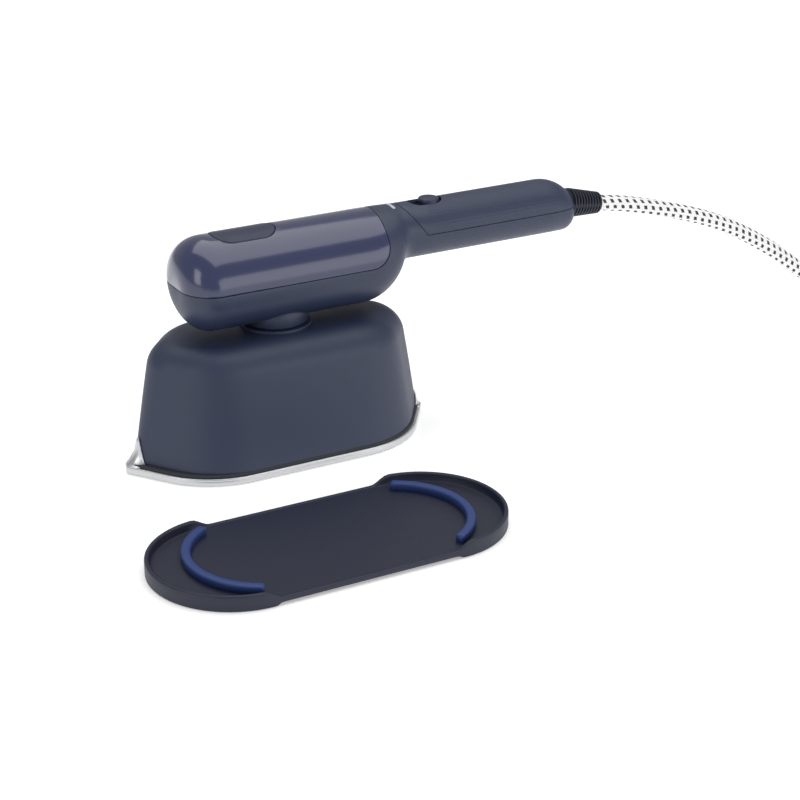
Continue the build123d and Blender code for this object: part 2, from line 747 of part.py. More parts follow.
def make_clamp_screws():
    return [
        screw(CLAMP_X, side * CLAMP_SCREW_Y, BOOT_Z + 5.6, 6.0, 0.95, 1.8, 1.2)
        for side in (-1, 1)
    ]


def make_housing_screws():
    return [screw(x, y, 84.2, 9.8, 1.25, 2.6, 1.8, up=True) for x, y in SCREW_POSTS]


def make_power_leads():
    leads = []
    for side in (-1, 1):
        points = [
            (CORD_STRIP_X, side * 1.9, BOOT_Z),
            (CORD_STRIP_X - 2.5, side * 1.9, BOOT_Z),
            (130.0, side * 5.4, BOOT_Z + 3.1),
            (99, side * 5.4, BOOT_Z + 3.1),
            (95, side * 2.2, BOOT_Z + 2.1),
            (92.1, side * 2.2, BOOT_Z + 2.1),
        ]
        radii = [min(radius, 4.0) for radius in route_radii(points)]
        leads.append(pipe(points, radii, 1.0))
    return leads


BOOT_START = (BOOT_X, 0, BOOT_Z)
BOOT_END = CORD_ROUTE[0]
BOOT_RIBS = 10
BOOT_BASE_R = 7.4
BOOT_TIP_R = 5.4


def cord_end_pipe(radius):
    """The cord's last stretch, through the boot and into the handle."""
    slope = (CORD_ROUTE[1][2] - CORD_ROUTE[0][2]) / (CORD_ROUTE[1][0] - CORD_ROUTE[0][0])
    near_end = (BOOT_END[0] - 8, 0, BOOT_END[2] - 8 * slope)
    return pipe([(CORD_STRIP_X, 0, BOOT_Z), BOOT_START, near_end, BOOT_END], [60, 60], radius)


def make_cord_boot(outer):
    """Tapered sleeve with ring ribs and four spines, tilted a little down, and a root inside the handle."""
    run = Vector(*BOOT_END) - Vector(*BOOT_START)
    length = run.length
    slope = (BOOT_BASE_R - BOOT_TIP_R) / length
    taper = degrees(slope)
    core = Pos(0, 0, -3) * extrude(Circle(BOOT_BASE_R - 1.2), length + 3, taper=taper)
    limit = Pos(0, 0, -3) * extrude(Circle(BOOT_BASE_R - 0.2), length + 3, taper=taper)
    pitch = length / BOOT_RIBS
    for number in range(-1, BOOT_RIBS):
        low = number * pitch + pitch * 0.38
        core += Pos(0, 0, low) * extrude(Circle(BOOT_BASE_R - slope * low), pitch * 0.62)
    for turn in (0, 90, 180, 270):
        spine = Rot(0, 0, turn) * Pos(6.0, 0, length / 2 - 1.6) * Box(3.0, 2.4, length + 2.6)
        core += spine & limit
    sleeve = Plane(origin=BOOT_START, z_dir=run) * core - outer
    root = cylinder_x(ROOT_R, BOOT_X - 6.0, BOOT_X - 1.0, z=BOOT_Z)
    root += cylinder_x(ROOT_R - 0.7, BOOT_X - 1.5, BOOT_X + 2.5, z=BOOT_Z)
    return sleeve + root - cord_end_pipe(CORD_D / 2 + 0.02)


def make_handle_unit():
    outer = handle_body(0.0)
    inner = handle_body(SHELL)
    parts["main_housing"] = make_main_housing(outer, inner)
    parts["handle_top_cover"] = make_handle_top_cover(outer, inner)
    parts["water_tank"] = make_water_tank(outer, inner)
    parts["plug_anchor"] = make_plug_anchor()
    parts["tank_outlet_seal"] = make_tank_outlet_seal()
    parts["pivot_spindle"] = make_pivot_spindle()
    parts["spindle_screws"] = make_spindle_screws()
    parts["friction_washer"] = make_friction_washer()
    parts["pivot_retainer"] = make_pivot_retainer()
    parts["pump"] = make_pump()
    parts["suction_hose"] = make_suction_hose()
    parts["delivery_hose"] = make_delivery_hose()
    parts["circuit_board"] = make_circuit_board()
    parts["indicator_led"] = make_indicator_led()
    parts["indicator_lens"] = make_indicator_lens()
    parts["switch_body"] = make_switch_body()
    parts["switch_surround"] = make_switch_surround()
    parts["power_leads"] = make_power_leads()
    parts["cord_clamp"] = make_cord_clamp()
    parts["clamp_screws"] = make_clamp_screws()
    parts["housing_screws"] = make_housing_screws()
    parts["cord_boot"] = make_cord_boot(outer)
    parts["cord_inner_end"] = cord_end_pipe(CORD_D / 2)
    parts["switch_knob"] = make_switch_knob()
    parts["filler_plug"] = make_filler_plug()


# --- Rest tray -------------------------------------------------------------------------------

def tray_prism(inset, low, high):
    return oblong(TRAY_LENGTH - 2 * inset, TRAY_WIDTH - 2 * inset, low, high)


def middle_channel(z, up):
    """Space over or under the tray's middle, with S-shaped ramps at both ends."""
    far = z + 30 if up else z - 30
    rise = TRAY_RIM - TRAY_FLOOR if up else TRAY_UNDER
    sign = 1 if up else -1
    ramp_low = RAMP_LOW
    ramp_high = RAMP_HIGH if up else RAMP_LOW + 2.0
    outline = Polygon(
        (-ramp_low, z),
        (ramp_low, z),
        (ramp_high, z + sign * rise),
        (ramp_high + 1.5, z + sign * (rise + 0.01)),
        (ramp_high + 1.5, far),
        (-ramp_high - 1.5, far),
        (-ramp_high - 1.5, z + sign * (rise + 0.01)),
        (-ramp_high, z + sign * rise),
        align=None,
    )
    return extrude(Plane.XZ * outline, TRAY_WIDTH, both=True)


def make_rest_tray():
    tray = tray_prism(0, 0, TRAY_RIM)
    tray -= tray_prism(TRAY_WALL, TRAY_FLOOR, TRAY_RIM + 1)
    tray -= middle_channel(TRAY_FLOOR, True)
    tray -= middle_channel(TRAY_UNDER, False)
    hollow = tray_prism(TRAY_WALL, -1, TRAY_UNDER) - block(-44, 44, -60, 60, -2, TRAY_FLOOR)
    tray -= hollow
    rim_edges = [
        edge for edge in tray.edges()
        if edge.center().Z > TRAY_RIM - 0.01 and edge.length > 40
    ]
    tray = fillet(rim_edges, 0.6)
    return Pos(TRAY_X, TRAY_Y, 0) * tray


def make_tray_strips():
    strips = []
    for side in (-1, 1):
        centre = 0 if side > 0 else 180
        arc = CenterArc((0, 0), STRIP_R, centre - STRIP_HALF_ANGLE, 2 * STRIP_HALF_ANGLE)
        section = Plane(origin=arc @ 0, x_dir=(0, 0, 1), z_dir=arc % 0)
        height = STRIP_TOP - TRAY_FLOOR
        outline = Pos(height / 2, 0) * Rectangle(height, STRIP_WIDTH)
        upper = outline.vertices().sort_by(Axis.X)[-2:]
        strip = sweep(section * fillet(upper, 0.8), path=arc)
        strips.append(Pos(TRAY_X + side * STRIP_X, TRAY_Y, TRAY_FLOOR) * strip)
    return strips


# --- Cord and plug ---------------------------------------------------------------------------

def make_cord_tube(route, label):
    radii = route_radii(route)
    tube = pipe(route, radii, CORD_D / 2)
    print(label, "arc radii", [round(radius, 1) for radius in radii])
    path_length = FilletPolyline(*route, radius=radii).length
    print(label, "length", round(path_length, 1), "volume share",
          round(tube.volume / (path_length * pi * CORD_D**2 / 4), 4))
    return tube


def tie_place():
    return Pos(COIL_X, COIL_Y, 0) * Rot(0, 0, TIE_ANGLE)


def make_cord_tie():
    """Flat strap closed round the coil's turns."""
    inner_r = COIL_INNER_R - CORD_D / 2
    outer_r = COIL_OUTER_R + CORD_D / 2
    half = TIE_WIDTH / 2
    near = inner_r - 0.7
    strap = block(near - TIE_THICK, outer_r + TIE_THICK, -half, half, 0, 2 * CORD_D + TIE_THICK)
    strap = fillet(strap.edges().filter_by(Axis.Y), 1.1)
    strap -= block(near, outer_r, -half - 1, half + 1, TIE_THICK, 2 * CORD_D)
    return tie_place() * strap


def make_cord_coil():
    outer_r = COIL_OUTER_R + CORD_D / 2
    inner_r = COIL_INNER_R - CORD_D / 2
    coil = cylinder_z(outer_r, 0, 2 * CORD_D) - cylinder_z(inner_r, -1, 2 * CORD_D + 1)
    notch = block(inner_r - 2, outer_r + 2, -TIE_WIDTH / 2, TIE_WIDTH / 2, -1, TIE_THICK)
    return Pos(COIL_X, COIL_Y, 0) * coil - tie_place() * notch


def make_mains_plug():
    """Two-pin earthed plug with a round head, a waist and a ribbed neck, pointing along -Y."""
    head = extrude(Circle(PLUG_HEAD_R), 13)
    head = fillet(head.edges().sort_by(Axis.Z)[0], 2.0)
    shoulder = loft([Pos(0, 0, 0.5) * Circle(14.5), Pos(0, 0, -11) * Circle(8.5)])
    neck = Pos(0, 0, -26) * extrude(Circle(6.0), 17)
    plug = head + shoulder + neck
    for number in range(4):
        plug += Pos(0, 0, -24 + number * 3.6) * extrude(Circle(7.0), 2.0)
    for side in (-1, 1):
        plug -= Pos(side * (PLUG_HEAD_R + 0.4), 0, 5) * Box(3.0, 8.0, 20)
    plug -= Pos(0, 9.5, 4) * extrude(Circle(2.5), 12)
    for side in (-1, 1):
        plug -= Pos(side * PIN_SPACING / 2, 0, 3) * extrude(Circle(PIN_ROOT_R), 12)
    return plug_plane() * plug


def plug_plane():
    """Plane at the back of the plug's head, facing the way the pins point."""
    return Plane(origin=(PLUG_X, PLUG_Y - 26, PLUG_HEAD_R), x_dir=(1, 0, 0), z_dir=(0, -1, 0))


def make_plug_pins():
    pins = []
    for side in (-1, 1):
        foot = Pos(side * PIN_SPACING / 2, 0, 3)
        pin = foot * Pos(0, 0, PIN_ROOT) * extrude(Circle(PIN_R), PIN_LENGTH + 10 - PIN_ROOT)
        pin = fillet(pin.edges().sort_by(Axis.Z)[-1], 1.4)
        pin += foot * extrude(Circle(PIN_ROOT_R), PIN_ROOT)
        pins.append(plug_plane() * pin)
    return pins


def make_tray_and_cord():
    parts["rest_tray"] = make_rest_tray()
    parts["tray_strips"] = make_tray_strips()
    parts["cord"] = make_cord_tube(CORD_ROUTE, "cord")
    parts["cord_coil"] = make_cord_coil()
    parts["cord_tie"] = make_cord_tie()
    parts["cord_tail"] = make_cord_tube(TAIL_ROUTE, "cord tail")
    parts["mains_plug"] = make_mains_plug()
    parts["plug_pins"] = make_plug_pins()


make_sole_unit()
make_handle_unit()
make_tray_and_cord()

os.makedirs("parts", exist_ok=True)
for name, shape in parts.items():
    if isinstance(shape, list):
        shape = Compound(children=[piece.solid() for piece in shape])
    export_step(shape, f"parts/{name}.step")
    print(name, round(shape.volume, 1))
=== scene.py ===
import json
from math import acos, cos, degrees, pi, radians, sin, sqrt

import bmesh
import bpy
from mathutils import Matrix, Vector


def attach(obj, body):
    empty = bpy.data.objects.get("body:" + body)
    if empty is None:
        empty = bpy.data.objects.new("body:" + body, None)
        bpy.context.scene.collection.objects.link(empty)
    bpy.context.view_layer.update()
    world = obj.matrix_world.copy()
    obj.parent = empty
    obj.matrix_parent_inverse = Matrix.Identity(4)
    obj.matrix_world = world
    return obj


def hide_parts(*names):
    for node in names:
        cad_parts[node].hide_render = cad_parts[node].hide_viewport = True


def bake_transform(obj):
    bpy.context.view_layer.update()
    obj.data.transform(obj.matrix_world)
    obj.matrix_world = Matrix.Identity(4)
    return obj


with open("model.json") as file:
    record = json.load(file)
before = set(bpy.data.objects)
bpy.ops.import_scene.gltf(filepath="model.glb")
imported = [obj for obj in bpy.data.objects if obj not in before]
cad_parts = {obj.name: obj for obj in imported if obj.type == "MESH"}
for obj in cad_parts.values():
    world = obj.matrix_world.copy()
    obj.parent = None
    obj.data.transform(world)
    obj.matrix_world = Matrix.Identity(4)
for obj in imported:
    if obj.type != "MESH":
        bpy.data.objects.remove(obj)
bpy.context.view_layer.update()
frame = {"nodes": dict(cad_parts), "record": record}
MM = 0.001


def srgb(r, g, b):
    """Linear colour from 0-255 display values."""
    def one(value):
        value /= 255.0
        return value / 12.92 if value <= 0.04045 else ((value + 0.055) / 1.055) ** 2.4
    return (one(r), one(g), one(b), 1.0)


# --- Camera ----------------------------------------------------------------------------------

CAMERA_PLACE = (-0.38711, -0.81635, 0.40430)
CAMERA_DOWN, CAMERA_HEADING = 23.047, -29.047   # degrees below level, and from +Y
CAMERA_LENS = 93.38


def add_camera():
    data = bpy.data.cameras.new("camera")
    data.lens = CAMERA_LENS
    data.sensor_width = 36.0
    data.clip_end = 20.0
    camera = bpy.data.objects.new("camera", data)
    camera.location = CAMERA_PLACE
    camera.rotation_euler = (radians(90 - CAMERA_DOWN), 0, radians(CAMERA_HEADING))
    bpy.context.scene.collection.objects.link(camera)
    bpy.context.scene.camera = camera


add_camera()


# --- Mesh helpers ----------------------------------------------------------------------------

def link(name, mesh):
    piece = bpy.data.objects.new(name, mesh)
    bpy.context.scene.collection.objects.link(piece)
    return piece


def grid(name, *patches, flip=False, solid=False):
    """Smooth mesh from grids given as (rows, closed), in millimetres, with equal points merged."""
    bm = bmesh.new()
    for rows, closed in patches:
        made = [[bm.verts.new(Vector(point) * MM) for point in row] for row in rows]
        count = len(made[0])
        for above, below in zip(made, made[1:]):
            for j in range(count if closed else count - 1):
                k = (j + 1) % count
                corners = [above[j], above[k], below[k], below[j]]
                bm.faces.new(corners[::-1] if flip else corners)
        if solid:
            bm.faces.new(made[0])
            bm.faces.new(made[-1])
    bmesh.ops.remove_doubles(bm, verts=bm.verts, dist=2e-6)
    bmesh.ops.dissolve_degenerate(bm, edges=bm.edges, dist=1e-7)
    if solid:
        bmesh.ops.recalc_face_normals(bm, faces=bm.faces)
    for face in bm.faces:
        face.smooth = True
    mesh = bpy.data.meshes.new(name)
    bm.to_mesh(mesh)
    bm.free()
    return link(name, mesh)


def spun(name, profile, centre=(0, 0, 0), turns=64):
    """Closed upright turned surface from (radius, height) pairs that start and end on its axis."""
    rows = []
    for radius, height in profile:
        row = []
        for number in range(turns):
            angle = 2 * pi * number / turns
            row.append((radius * cos(angle), radius * sin(angle), height))
        rows.append(row)
    piece = grid(name, (rows, True), solid=True)
    piece.data.transform(Matrix.Translation(Vector(centre) * MM))
    return piece


def bake(piece):
    """Applies the piece's modifiers."""
    graph = bpy.context.evaluated_depsgraph_get()
    mesh = bpy.data.meshes.new_from_object(piece.evaluated_get(graph))
    piece.modifiers.clear()
    piece.data = mesh


def thicken(piece, thickness, bevel=0.25):
    shell = piece.modifiers.new("wall", "SOLIDIFY")
    shell.thickness = thickness * MM
    shell.offset = -1
    shell.use_even_offset = True
    if bevel:
        soften(piece, bevel)


def soften(piece, width, segments=2, angle=40):
    edge = piece.modifiers.new("edge", "BEVEL")
    edge.width = width * MM
    edge.segments = segments
    edge.limit_method = "ANGLE"
    edge.angle_limit = radians(angle)
    edge.harden_normals = False
    return piece


def dress(piece, material, body, slot, *replaced):
    """Gives a finished piece its material, its body and the CAD nodes it stands for."""
    piece.data.materials.clear()
    piece.data.materials.append(material)
    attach(piece, body)
    if replaced:
        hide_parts(*replaced)


# --- Materials -------------------------------------------------------------------------------

def new_material(name):
    material = bpy.data.materials.new(name)
    material.use_nodes = True
    tree = material.node_tree
    return material, tree, tree.nodes["Principled BSDF"]


def texture_at(tree, kind, scale, **settings):
    """Texture node in object coordinates."""
    place = tree.nodes.new("ShaderNodeTexCoord")
    node = tree.nodes.new(kind)
    tree.links.new(place.outputs["Object"], node.inputs["Vector"])
    node.inputs["Scale"].default_value = scale
    for key, value in settings.items():
        node.inputs[key].default_value = value
    return node


def tint(tree, shader, colour, share, scale):
    """Slow colour variation around a base colour."""
    noise = texture_at(tree, "ShaderNodeTexNoise", scale, Detail=3.0)
    mix = tree.nodes.new("ShaderNodeMix")
    mix.data_type = "RGBA"
    mix.inputs["A"].default_value = [c * (1 - share) for c in colour[:3]] + [1]
    mix.inputs["B"].default_value = [min(c * (1 + share), 1) for c in colour[:3]] + [1]
    tree.links.new(noise.outputs["Fac"], mix.inputs["Factor"])
    tree.links.new(mix.outputs["Result"], shader.inputs["Base Color"])


def roughen(tree, shader, low, high, scale):
    noise = texture_at(tree, "ShaderNodeTexNoise", scale, Detail=4.0)
    spread = tree.nodes.new("ShaderNodeMapRange")
    spread.inputs["To Min"].default_value = low
    spread.inputs["To Max"].default_value = high
    tree.links.new(noise.outputs["Fac"], spread.inputs["Value"])
    tree.links.new(spread.outputs["Result"], shader.inputs["Roughness"])


def bump(tree, shader, height, strength, distance):
    node = tree.nodes.new("ShaderNodeBump")
    node.inputs["Strength"].default_value = strength
    node.inputs["Distance"].default_value = distance
    tree.links.new(height, node.inputs["Height"])
    if shader.inputs["Normal"].links:
        tree.links.new(shader.inputs["Normal"].links[0].from_socket, node.inputs["Normal"])
    tree.links.new(node.outputs["Normal"], shader.inputs["Normal"])


def moulded(name, colour, rough=0.45, grain=2600.0, depth=0.12, share=0.05, coat=0.0, specular=0.5):
    """Moulded plastic or rubber with a fine spark-eroded grain."""
    material, tree, shader = new_material(name)
    tint(tree, shader, colour, share, 38.0)
    roughen(tree, shader, rough - 0.04, rough + 0.04, 260.0)
    fine = texture_at(tree, "ShaderNodeTexNoise", grain, Detail=2.0)
    bump(tree, shader, fine.outputs["Fac"], depth, 0.00012)
    shader.inputs["Specular IOR Level"].default_value = specular
    shader.inputs["Coat Weight"].default_value = coat
    shader.inputs["Coat Roughness"].default_value = 0.12
    return material


def metal(name, colour, rough, stretch=(1, 1, 1), scale=900.0, depth=0.06):
    """Metal with fine brushing or grinding marks drawn out along one direction."""
    material, tree, shader = new_material(name)
    shader.inputs["Metallic"].default_value = 1.0
    tint(tree, shader, colour, 0.06, 60.0)
    place = tree.nodes.new("ShaderNodeTexCoord")
    mapping = tree.nodes.new("ShaderNodeMapping")
    mapping.inputs["Scale"].default_value = stretch
    marks = tree.nodes.new("ShaderNodeTexNoise")
    marks.inputs["Scale"].default_value = scale
    marks.inputs["Detail"].default_value = 3.0
    tree.links.new(place.outputs["Object"], mapping.inputs["Vector"])
    tree.links.new(mapping.outputs["Vector"], marks.inputs["Vector"])
    spread = tree.nodes.new("ShaderNodeMapRange")
    spread.inputs["To Min"].default_value = rough - 0.06
    spread.inputs["To Max"].default_value = rough + 0.08
    tree.links.new(marks.outputs["Fac"], spread.inputs["Value"])
    tree.links.new(spread.outputs["Result"], shader.inputs["Roughness"])
    bump(tree, shader, marks.outputs["Fac"], depth, 0.0001)
    return material


def math(tree, operation, first, second=None, third=None):
    node = tree.nodes.new("ShaderNodeMath")
    node.operation = operation
    for socket, value in zip(node.inputs, (first, second, third)):
        if value is None:
            continue
        if isinstance(value, (int, float)):
            socket.default_value = value
        else:
            tree.links.new(value, socket)
    return node.outputs[0]


def eased(tree, value, low, high):
    """0 to 1, smoothly, as a value goes from low to high."""
    node = tree.nodes.new("ShaderNodeMapRange")
    node.interpolation_type = "SMOOTHSTEP"
    node.inputs["From Min"].default_value = low
    node.inputs["From Max"].default_value = high
    tree.links.new(value, node.inputs["Value"])
    return node.outputs["Result"]


HOUSING = srgb(41, 50, 75)
TRAY = srgb(22, 28, 50)
materials = {
    "housing": moulded("housing plastic", HOUSING, rough=0.46),
    "tank": moulded(
        "tank plastic", srgb(42, 48, 84), rough=0.2, grain=900.0, depth=0.01, share=0.06, coat=0.6,
    ),
    "tray": moulded("tray plastic", TRAY, rough=0.52),
    "strip": moulded("strip rubber", srgb(36, 60, 118), rough=0.55),
    "sole": metal("sole metal", srgb(205, 206, 208), 0.32, (1, 14, 6)),
    "casting": metal("casting metal", srgb(170, 171, 172), 0.5, (1, 1, 1), 500.0, 0.2),
    "seal": moulded("seal rubber", srgb(34, 37, 46), rough=0.6),
    "silicone": moulded("silicone", srgb(200, 200, 196), rough=0.5),
    "steel": metal("steel", srgb(180, 181, 184), 0.3, (1, 1, 8)),
    "inner_plastic": moulded("inner plastic", srgb(205, 204, 196), rough=0.5),
    "dark_plastic": moulded("dark plastic", srgb(30, 37, 66), rough=0.4),
    "indicator": moulded("indicator plastic", srgb(190, 194, 200), rough=0.3),
    "board": moulded("board laminate", srgb(30, 92, 50), rough=0.35),
    "boot": moulded("boot rubber", srgb(22, 26, 42), rough=0.5),
    "wire": moulded("wire insulation", srgb(150, 40, 34), rough=0.4),
    "plug": moulded("plug rubber", srgb(30, 32, 38), rough=0.45),
    "pins": metal("pin metal", srgb(214, 214, 216), 0.14, (1, 1, 12)),
}


FLECK_PITCH = 0.0047          # along the cord, in metres
FLECK_ROWS = 8.0              # rows round the cord
FLECK_TWIST = -0.085          # rows that a line of flecks turns by in one pitch
FLECK_EDGE = (1.18, 1.42)


def braid_material():
    """White braid with rows of black flecks, and painted shade that turns it greyer where the weave
    is low; U is metres along the cord, V once round it.
    """
    material, tree, shader = new_material("cord braid")
    place = tree.nodes.new("ShaderNodeTexCoord")
    split = tree.nodes.new("ShaderNodeSeparateXYZ")
    tree.links.new(place.outputs["UV"], split.inputs["Vector"])
    along = math(tree, "DIVIDE", split.outputs["X"], FLECK_PITCH)
    turned = math(tree, "MULTIPLY", split.outputs["Y"], FLECK_ROWS)
    around = math(tree, "MULTIPLY_ADD", along, FLECK_TWIST, turned)
    row = math(tree, "FLOOR", around)
    across = math(tree, "SUBTRACT", math(tree, "SUBTRACT", around, row), 0.5)
    pair = math(tree, "FLOOR", math(tree, "MULTIPLY", row, 0.5))
    stagger = math(tree, "MULTIPLY", math(tree, "FLOORED_MODULO", pair, 2.0), 0.5)
    slanted = math(tree, "MULTIPLY_ADD", across, 0.35, math(tree, "ADD", along, stagger))
    length = math(tree, "SUBTRACT", math(tree, "FRACT", slanted), 0.5)
    side = math(tree, "MULTIPLY", math(tree, "ABSOLUTE", across), 3.14)
    reach = math(tree, "MULTIPLY", math(tree, "ABSOLUTE", length), 4.7)
    furthest = math(tree, "MAXIMUM", side, reach)
    fray = texture_at(tree, "ShaderNodeTexNoise", 1800.0, Detail=2.0)
    edge = math(tree, "MULTIPLY_ADD", fray.outputs["Fac"], 0.7, furthest)
    fleck = eased(tree, edge, *FLECK_EDGE)
    lengthwise = math(tree, "MULTIPLY", along, 6.0 * pi)
    crosswise = math(tree, "MULTIPLY", split.outputs["Y"], 16.0 * pi)
    left = math(tree, "SINE", math(tree, "ADD", lengthwise, crosswise))
    right = math(tree, "SINE", math(tree, "SUBTRACT", lengthwise, crosswise))
    weave = math(tree, "MULTIPLY", left, right)
    # Painted shade: the braid's white goes greyer in the low parts of the weave, between the
    # strands, following the same pattern as the bump.
    painted_weave_shade = tree.nodes.new("ShaderNodeMapRange")
    painted_weave_shade.inputs["From Min"].default_value = -1.0
    painted_weave_shade.inputs["To Min"].default_value = 0.80
    painted_weave_shade.inputs["To Max"].default_value = 1.0
    tree.links.new(weave, painted_weave_shade.inputs["Value"])
    white_with_painted_shade = tree.nodes.new("ShaderNodeMix")
    white_with_painted_shade.data_type = "RGBA"
    white_with_painted_shade.inputs["A"].default_value = srgb(196, 197, 200)
    white_with_painted_shade.inputs["B"].default_value = srgb(250, 250, 250)
    tree.links.new(painted_weave_shade.outputs["Result"], white_with_painted_shade.inputs["Factor"])
    colour = tree.nodes.new("ShaderNodeMix")
    colour.data_type = "RGBA"
    colour.inputs["A"].default_value = srgb(34, 35, 40)
    tree.links.new(white_with_painted_shade.outputs["Result"], colour.inputs["B"])
    tree.links.new(fleck, colour.inputs["Factor"])
    tree.links.new(colour.outputs["Result"], shader.inputs["Base Color"])
    shader.inputs["Roughness"].default_value = 0.85
    shader.inputs["Sheen Weight"].default_value = 0.25
    bump(tree, shader, weave, 0.5, 0.00025)
    return material


materials["braid"] = braid_material()
materials["base"] = moulded("base plastic", HOUSING, rough=0.5)


GRIP_AXIS_Z = 0.0941
RING_PITCH, GRIP_ROWS = 0.00108, 26.0
GRIP_BEGIN, GRIP_END = (0.0755, 0.0775), (0.150, 0.148)


def grip_material():
    """Housing plastic, with fine rings crossed by finer rows along the handle's grip."""
    material = moulded("grip plastic", HOUSING, rough=0.42)
    tree = material.node_tree
    shader = tree.nodes["Principled BSDF"]
    place = tree.nodes.new("ShaderNodeTexCoord")
    split = tree.nodes.new("ShaderNodeSeparateXYZ")
    tree.links.new(place.outputs["Object"], split.inputs["Vector"])
    x, y, z = split.outputs
    turn = math(tree, "ARCTAN2", y, math(tree, "SUBTRACT", z, GRIP_AXIS_Z))
    rings = math(tree, "ABSOLUTE", math(tree, "SINE", math(tree, "MULTIPLY", x, pi / RING_PITCH)))
    rows = math(tree, "ABSOLUTE", math(tree, "SINE", math(tree, "MULTIPLY", turn, GRIP_ROWS)))
    studs = math(tree, "MULTIPLY", rings, math(tree, "MULTIPLY_ADD", rows, 0.7, 0.3))
    mask = math(tree, "MULTIPLY", eased(tree, x, *GRIP_BEGIN), eased(tree, x, *GRIP_END))
    bump(tree, shader, math(tree, "MULTIPLY", studs, mask), 0.55, 0.0002)
    return material


materials["grip"] = grip_material()

for entry in frame["record"]["subparts"]:
    node = frame["nodes"][entry["node"]]
    node.data.materials.clear()
    node.data.materials.append(materials[entry["material_slot"]])
    node.data.polygons.foreach_set("use_smooth", [True] * len(node.data.polygons))


# --- Cord ------------------------------------------------------------------------------------

CORD_D = 8.0
COIL_X, COIL_Y = 386.0, -61.0
COIL_FIT = 1.012              # a curve through the turns' points runs a little inside them
route = [
    (177.8, 0.0, 90.8),
    (189.5, 0.0, 89.0),
    (212.0, -0.3, 83.3),
    (236.5, -0.8, 76.0),
    (261.0, -1.6, 66.0),
    (288.0, -2.8, 50.0),
    (313.0, -4.0, 31.0),
    (337.0, -4.8, 14.0),
    (362.0, -5.0, 4.0),
]
TURN_POINTS = 16
BOTTOM_TURNS, RISE_TURNS, TOP_TURNS = 3.0, 0.36, 2.89
ALL_TURNS = 6.25
OUTER_R, INNER_R, TOP_SPREAD = 56.0, 32.0, 22.0
for number in range(int(ALL_TURNS * TURN_POINTS) + 1):
    turn = number / TURN_POINTS
    rise = min(max((turn - BOTTOM_TURNS) / RISE_TURNS, 0.0), 1.0)
    if turn < BOTTOM_TURNS:
        radius = OUTER_R - CORD_D * turn
    else:
        radius = INNER_R + TOP_SPREAD * max(turn - BOTTOM_TURNS - RISE_TURNS, 0.0) / TOP_TURNS
    angle = radians(90 - 360 * turn)
    route.append((
        COIL_X + radius * COIL_FIT * cos(angle),
        COIL_Y + radius * COIL_FIT * sin(angle),
        CORD_D / 2 + CORD_D * rise * rise * (3 - 2 * rise),
    ))
route += [(441.0, -79.0, 12.3), (440.0, -98.0, 14.2), (438.0, -117.0, 17.8)]


def nurbs_line(points):
    """Evenly spaced points read from the NURBS spline through a route."""
    data = bpy.data.curves.new("route", "CURVE")
    data.dimensions = "3D"
    spline = data.splines.new("NURBS")
    spline.points.add(len(points) - 1)
    for place, point in zip(spline.points, points):
        place.co = (*(Vector(point) * MM), 1.0)
    spline.order_u = 3
    spline.use_endpoint_u = True
    spline.resolution_u = 12
    curve = bpy.data.objects.new("route", data)
    bpy.context.scene.collection.objects.link(curve)
    bpy.context.view_layer.update()
    mesh = bpy.data.meshes.new_from_object(curve)
    found = [vertex.co.copy() for vertex in mesh.vertices]
    bpy.data.objects.remove(curve)
    bpy.data.meshes.remove(mesh)
    return found


def tube(name, line, radius, around):
    """Mesh tube round a line, with U along it in metres and V once round it."""
    bm = bmesh.new()
    uv = bm.loops.layers.uv.new("UVMap")
    tangent = (line[1] - line[0]).normalized()
    side = tangent.cross(Vector((0, 0, 1))).normalized()
    rings, run, travelled = [], 0.0, []
    for number, point in enumerate(line):
        ahead = line[min(number + 1, len(line) - 1)]
        behind = line[max(number - 1, 0)]
        tangent = (ahead - behind).normalized()
        side = (side - tangent * side.dot(tangent)).normalized()
        up = side.cross(tangent)
        if number:
            run += (point - line[number - 1]).length
        travelled.append(run)
        ring = []
        for step in range(around):
            angle = 2 * pi * step / around
            ring.append(bm.verts.new(point + (side * cos(angle) + up * sin(angle)) * radius))
        rings.append(ring)
    for number in range(len(rings) - 1):
        for step in range(around):
            after = (step + 1) % around
            face = bm.faces.new((rings[number][step], rings[number + 1][step],
                                 rings[number + 1][after], rings[number][after]))
            face.smooth = True
            spots = ((number, step), (number + 1, step), (number + 1, step + 1), (number, step + 1))
            for loop, (at, turn) in zip(face.loops, spots):
                loop[uv].uv = (travelled[at], turn / around)
    bm.faces.new(rings[0])
    bm.faces.new(rings[-1][::-1])
    mesh = bpy.data.meshes.new(name)
    bmesh.ops.recalc_face_normals(bm, faces=bm.faces)
    bm.to_mesh(mesh)
    bm.free()
    return link(name, mesh)


def resampled(line, step):
    """Points along a line about one step apart."""
    out, left = [line[0]], step
    for start, stop in zip(line, line[1:]):
        length = (stop - start).length
        while left <= length:
            out.append(start.lerp(stop, left / length))
            left += step
        left -= length
    out.append(line[-1])
    return out


cord_line = nurbs_line(route)
cord = tube("braided_cord", resampled(cord_line, 0.0016), CORD_D / 2 * MM, 28)
dress(cord, materials["braid"], "handle", "braid", "cord", "cord_coil", "cord_tail")


RIB_LEVELS = ((0.0, False), (0.34, False), (0.42, True), (0.92, True))
SLOT_DEPTH, SPINE_DEPTH, SPINE_HALF_ANGLE = 1.3, 0.25, 11
SLEEVE_ROOT = -3.0            # how far the sleeve reaches back into the handle


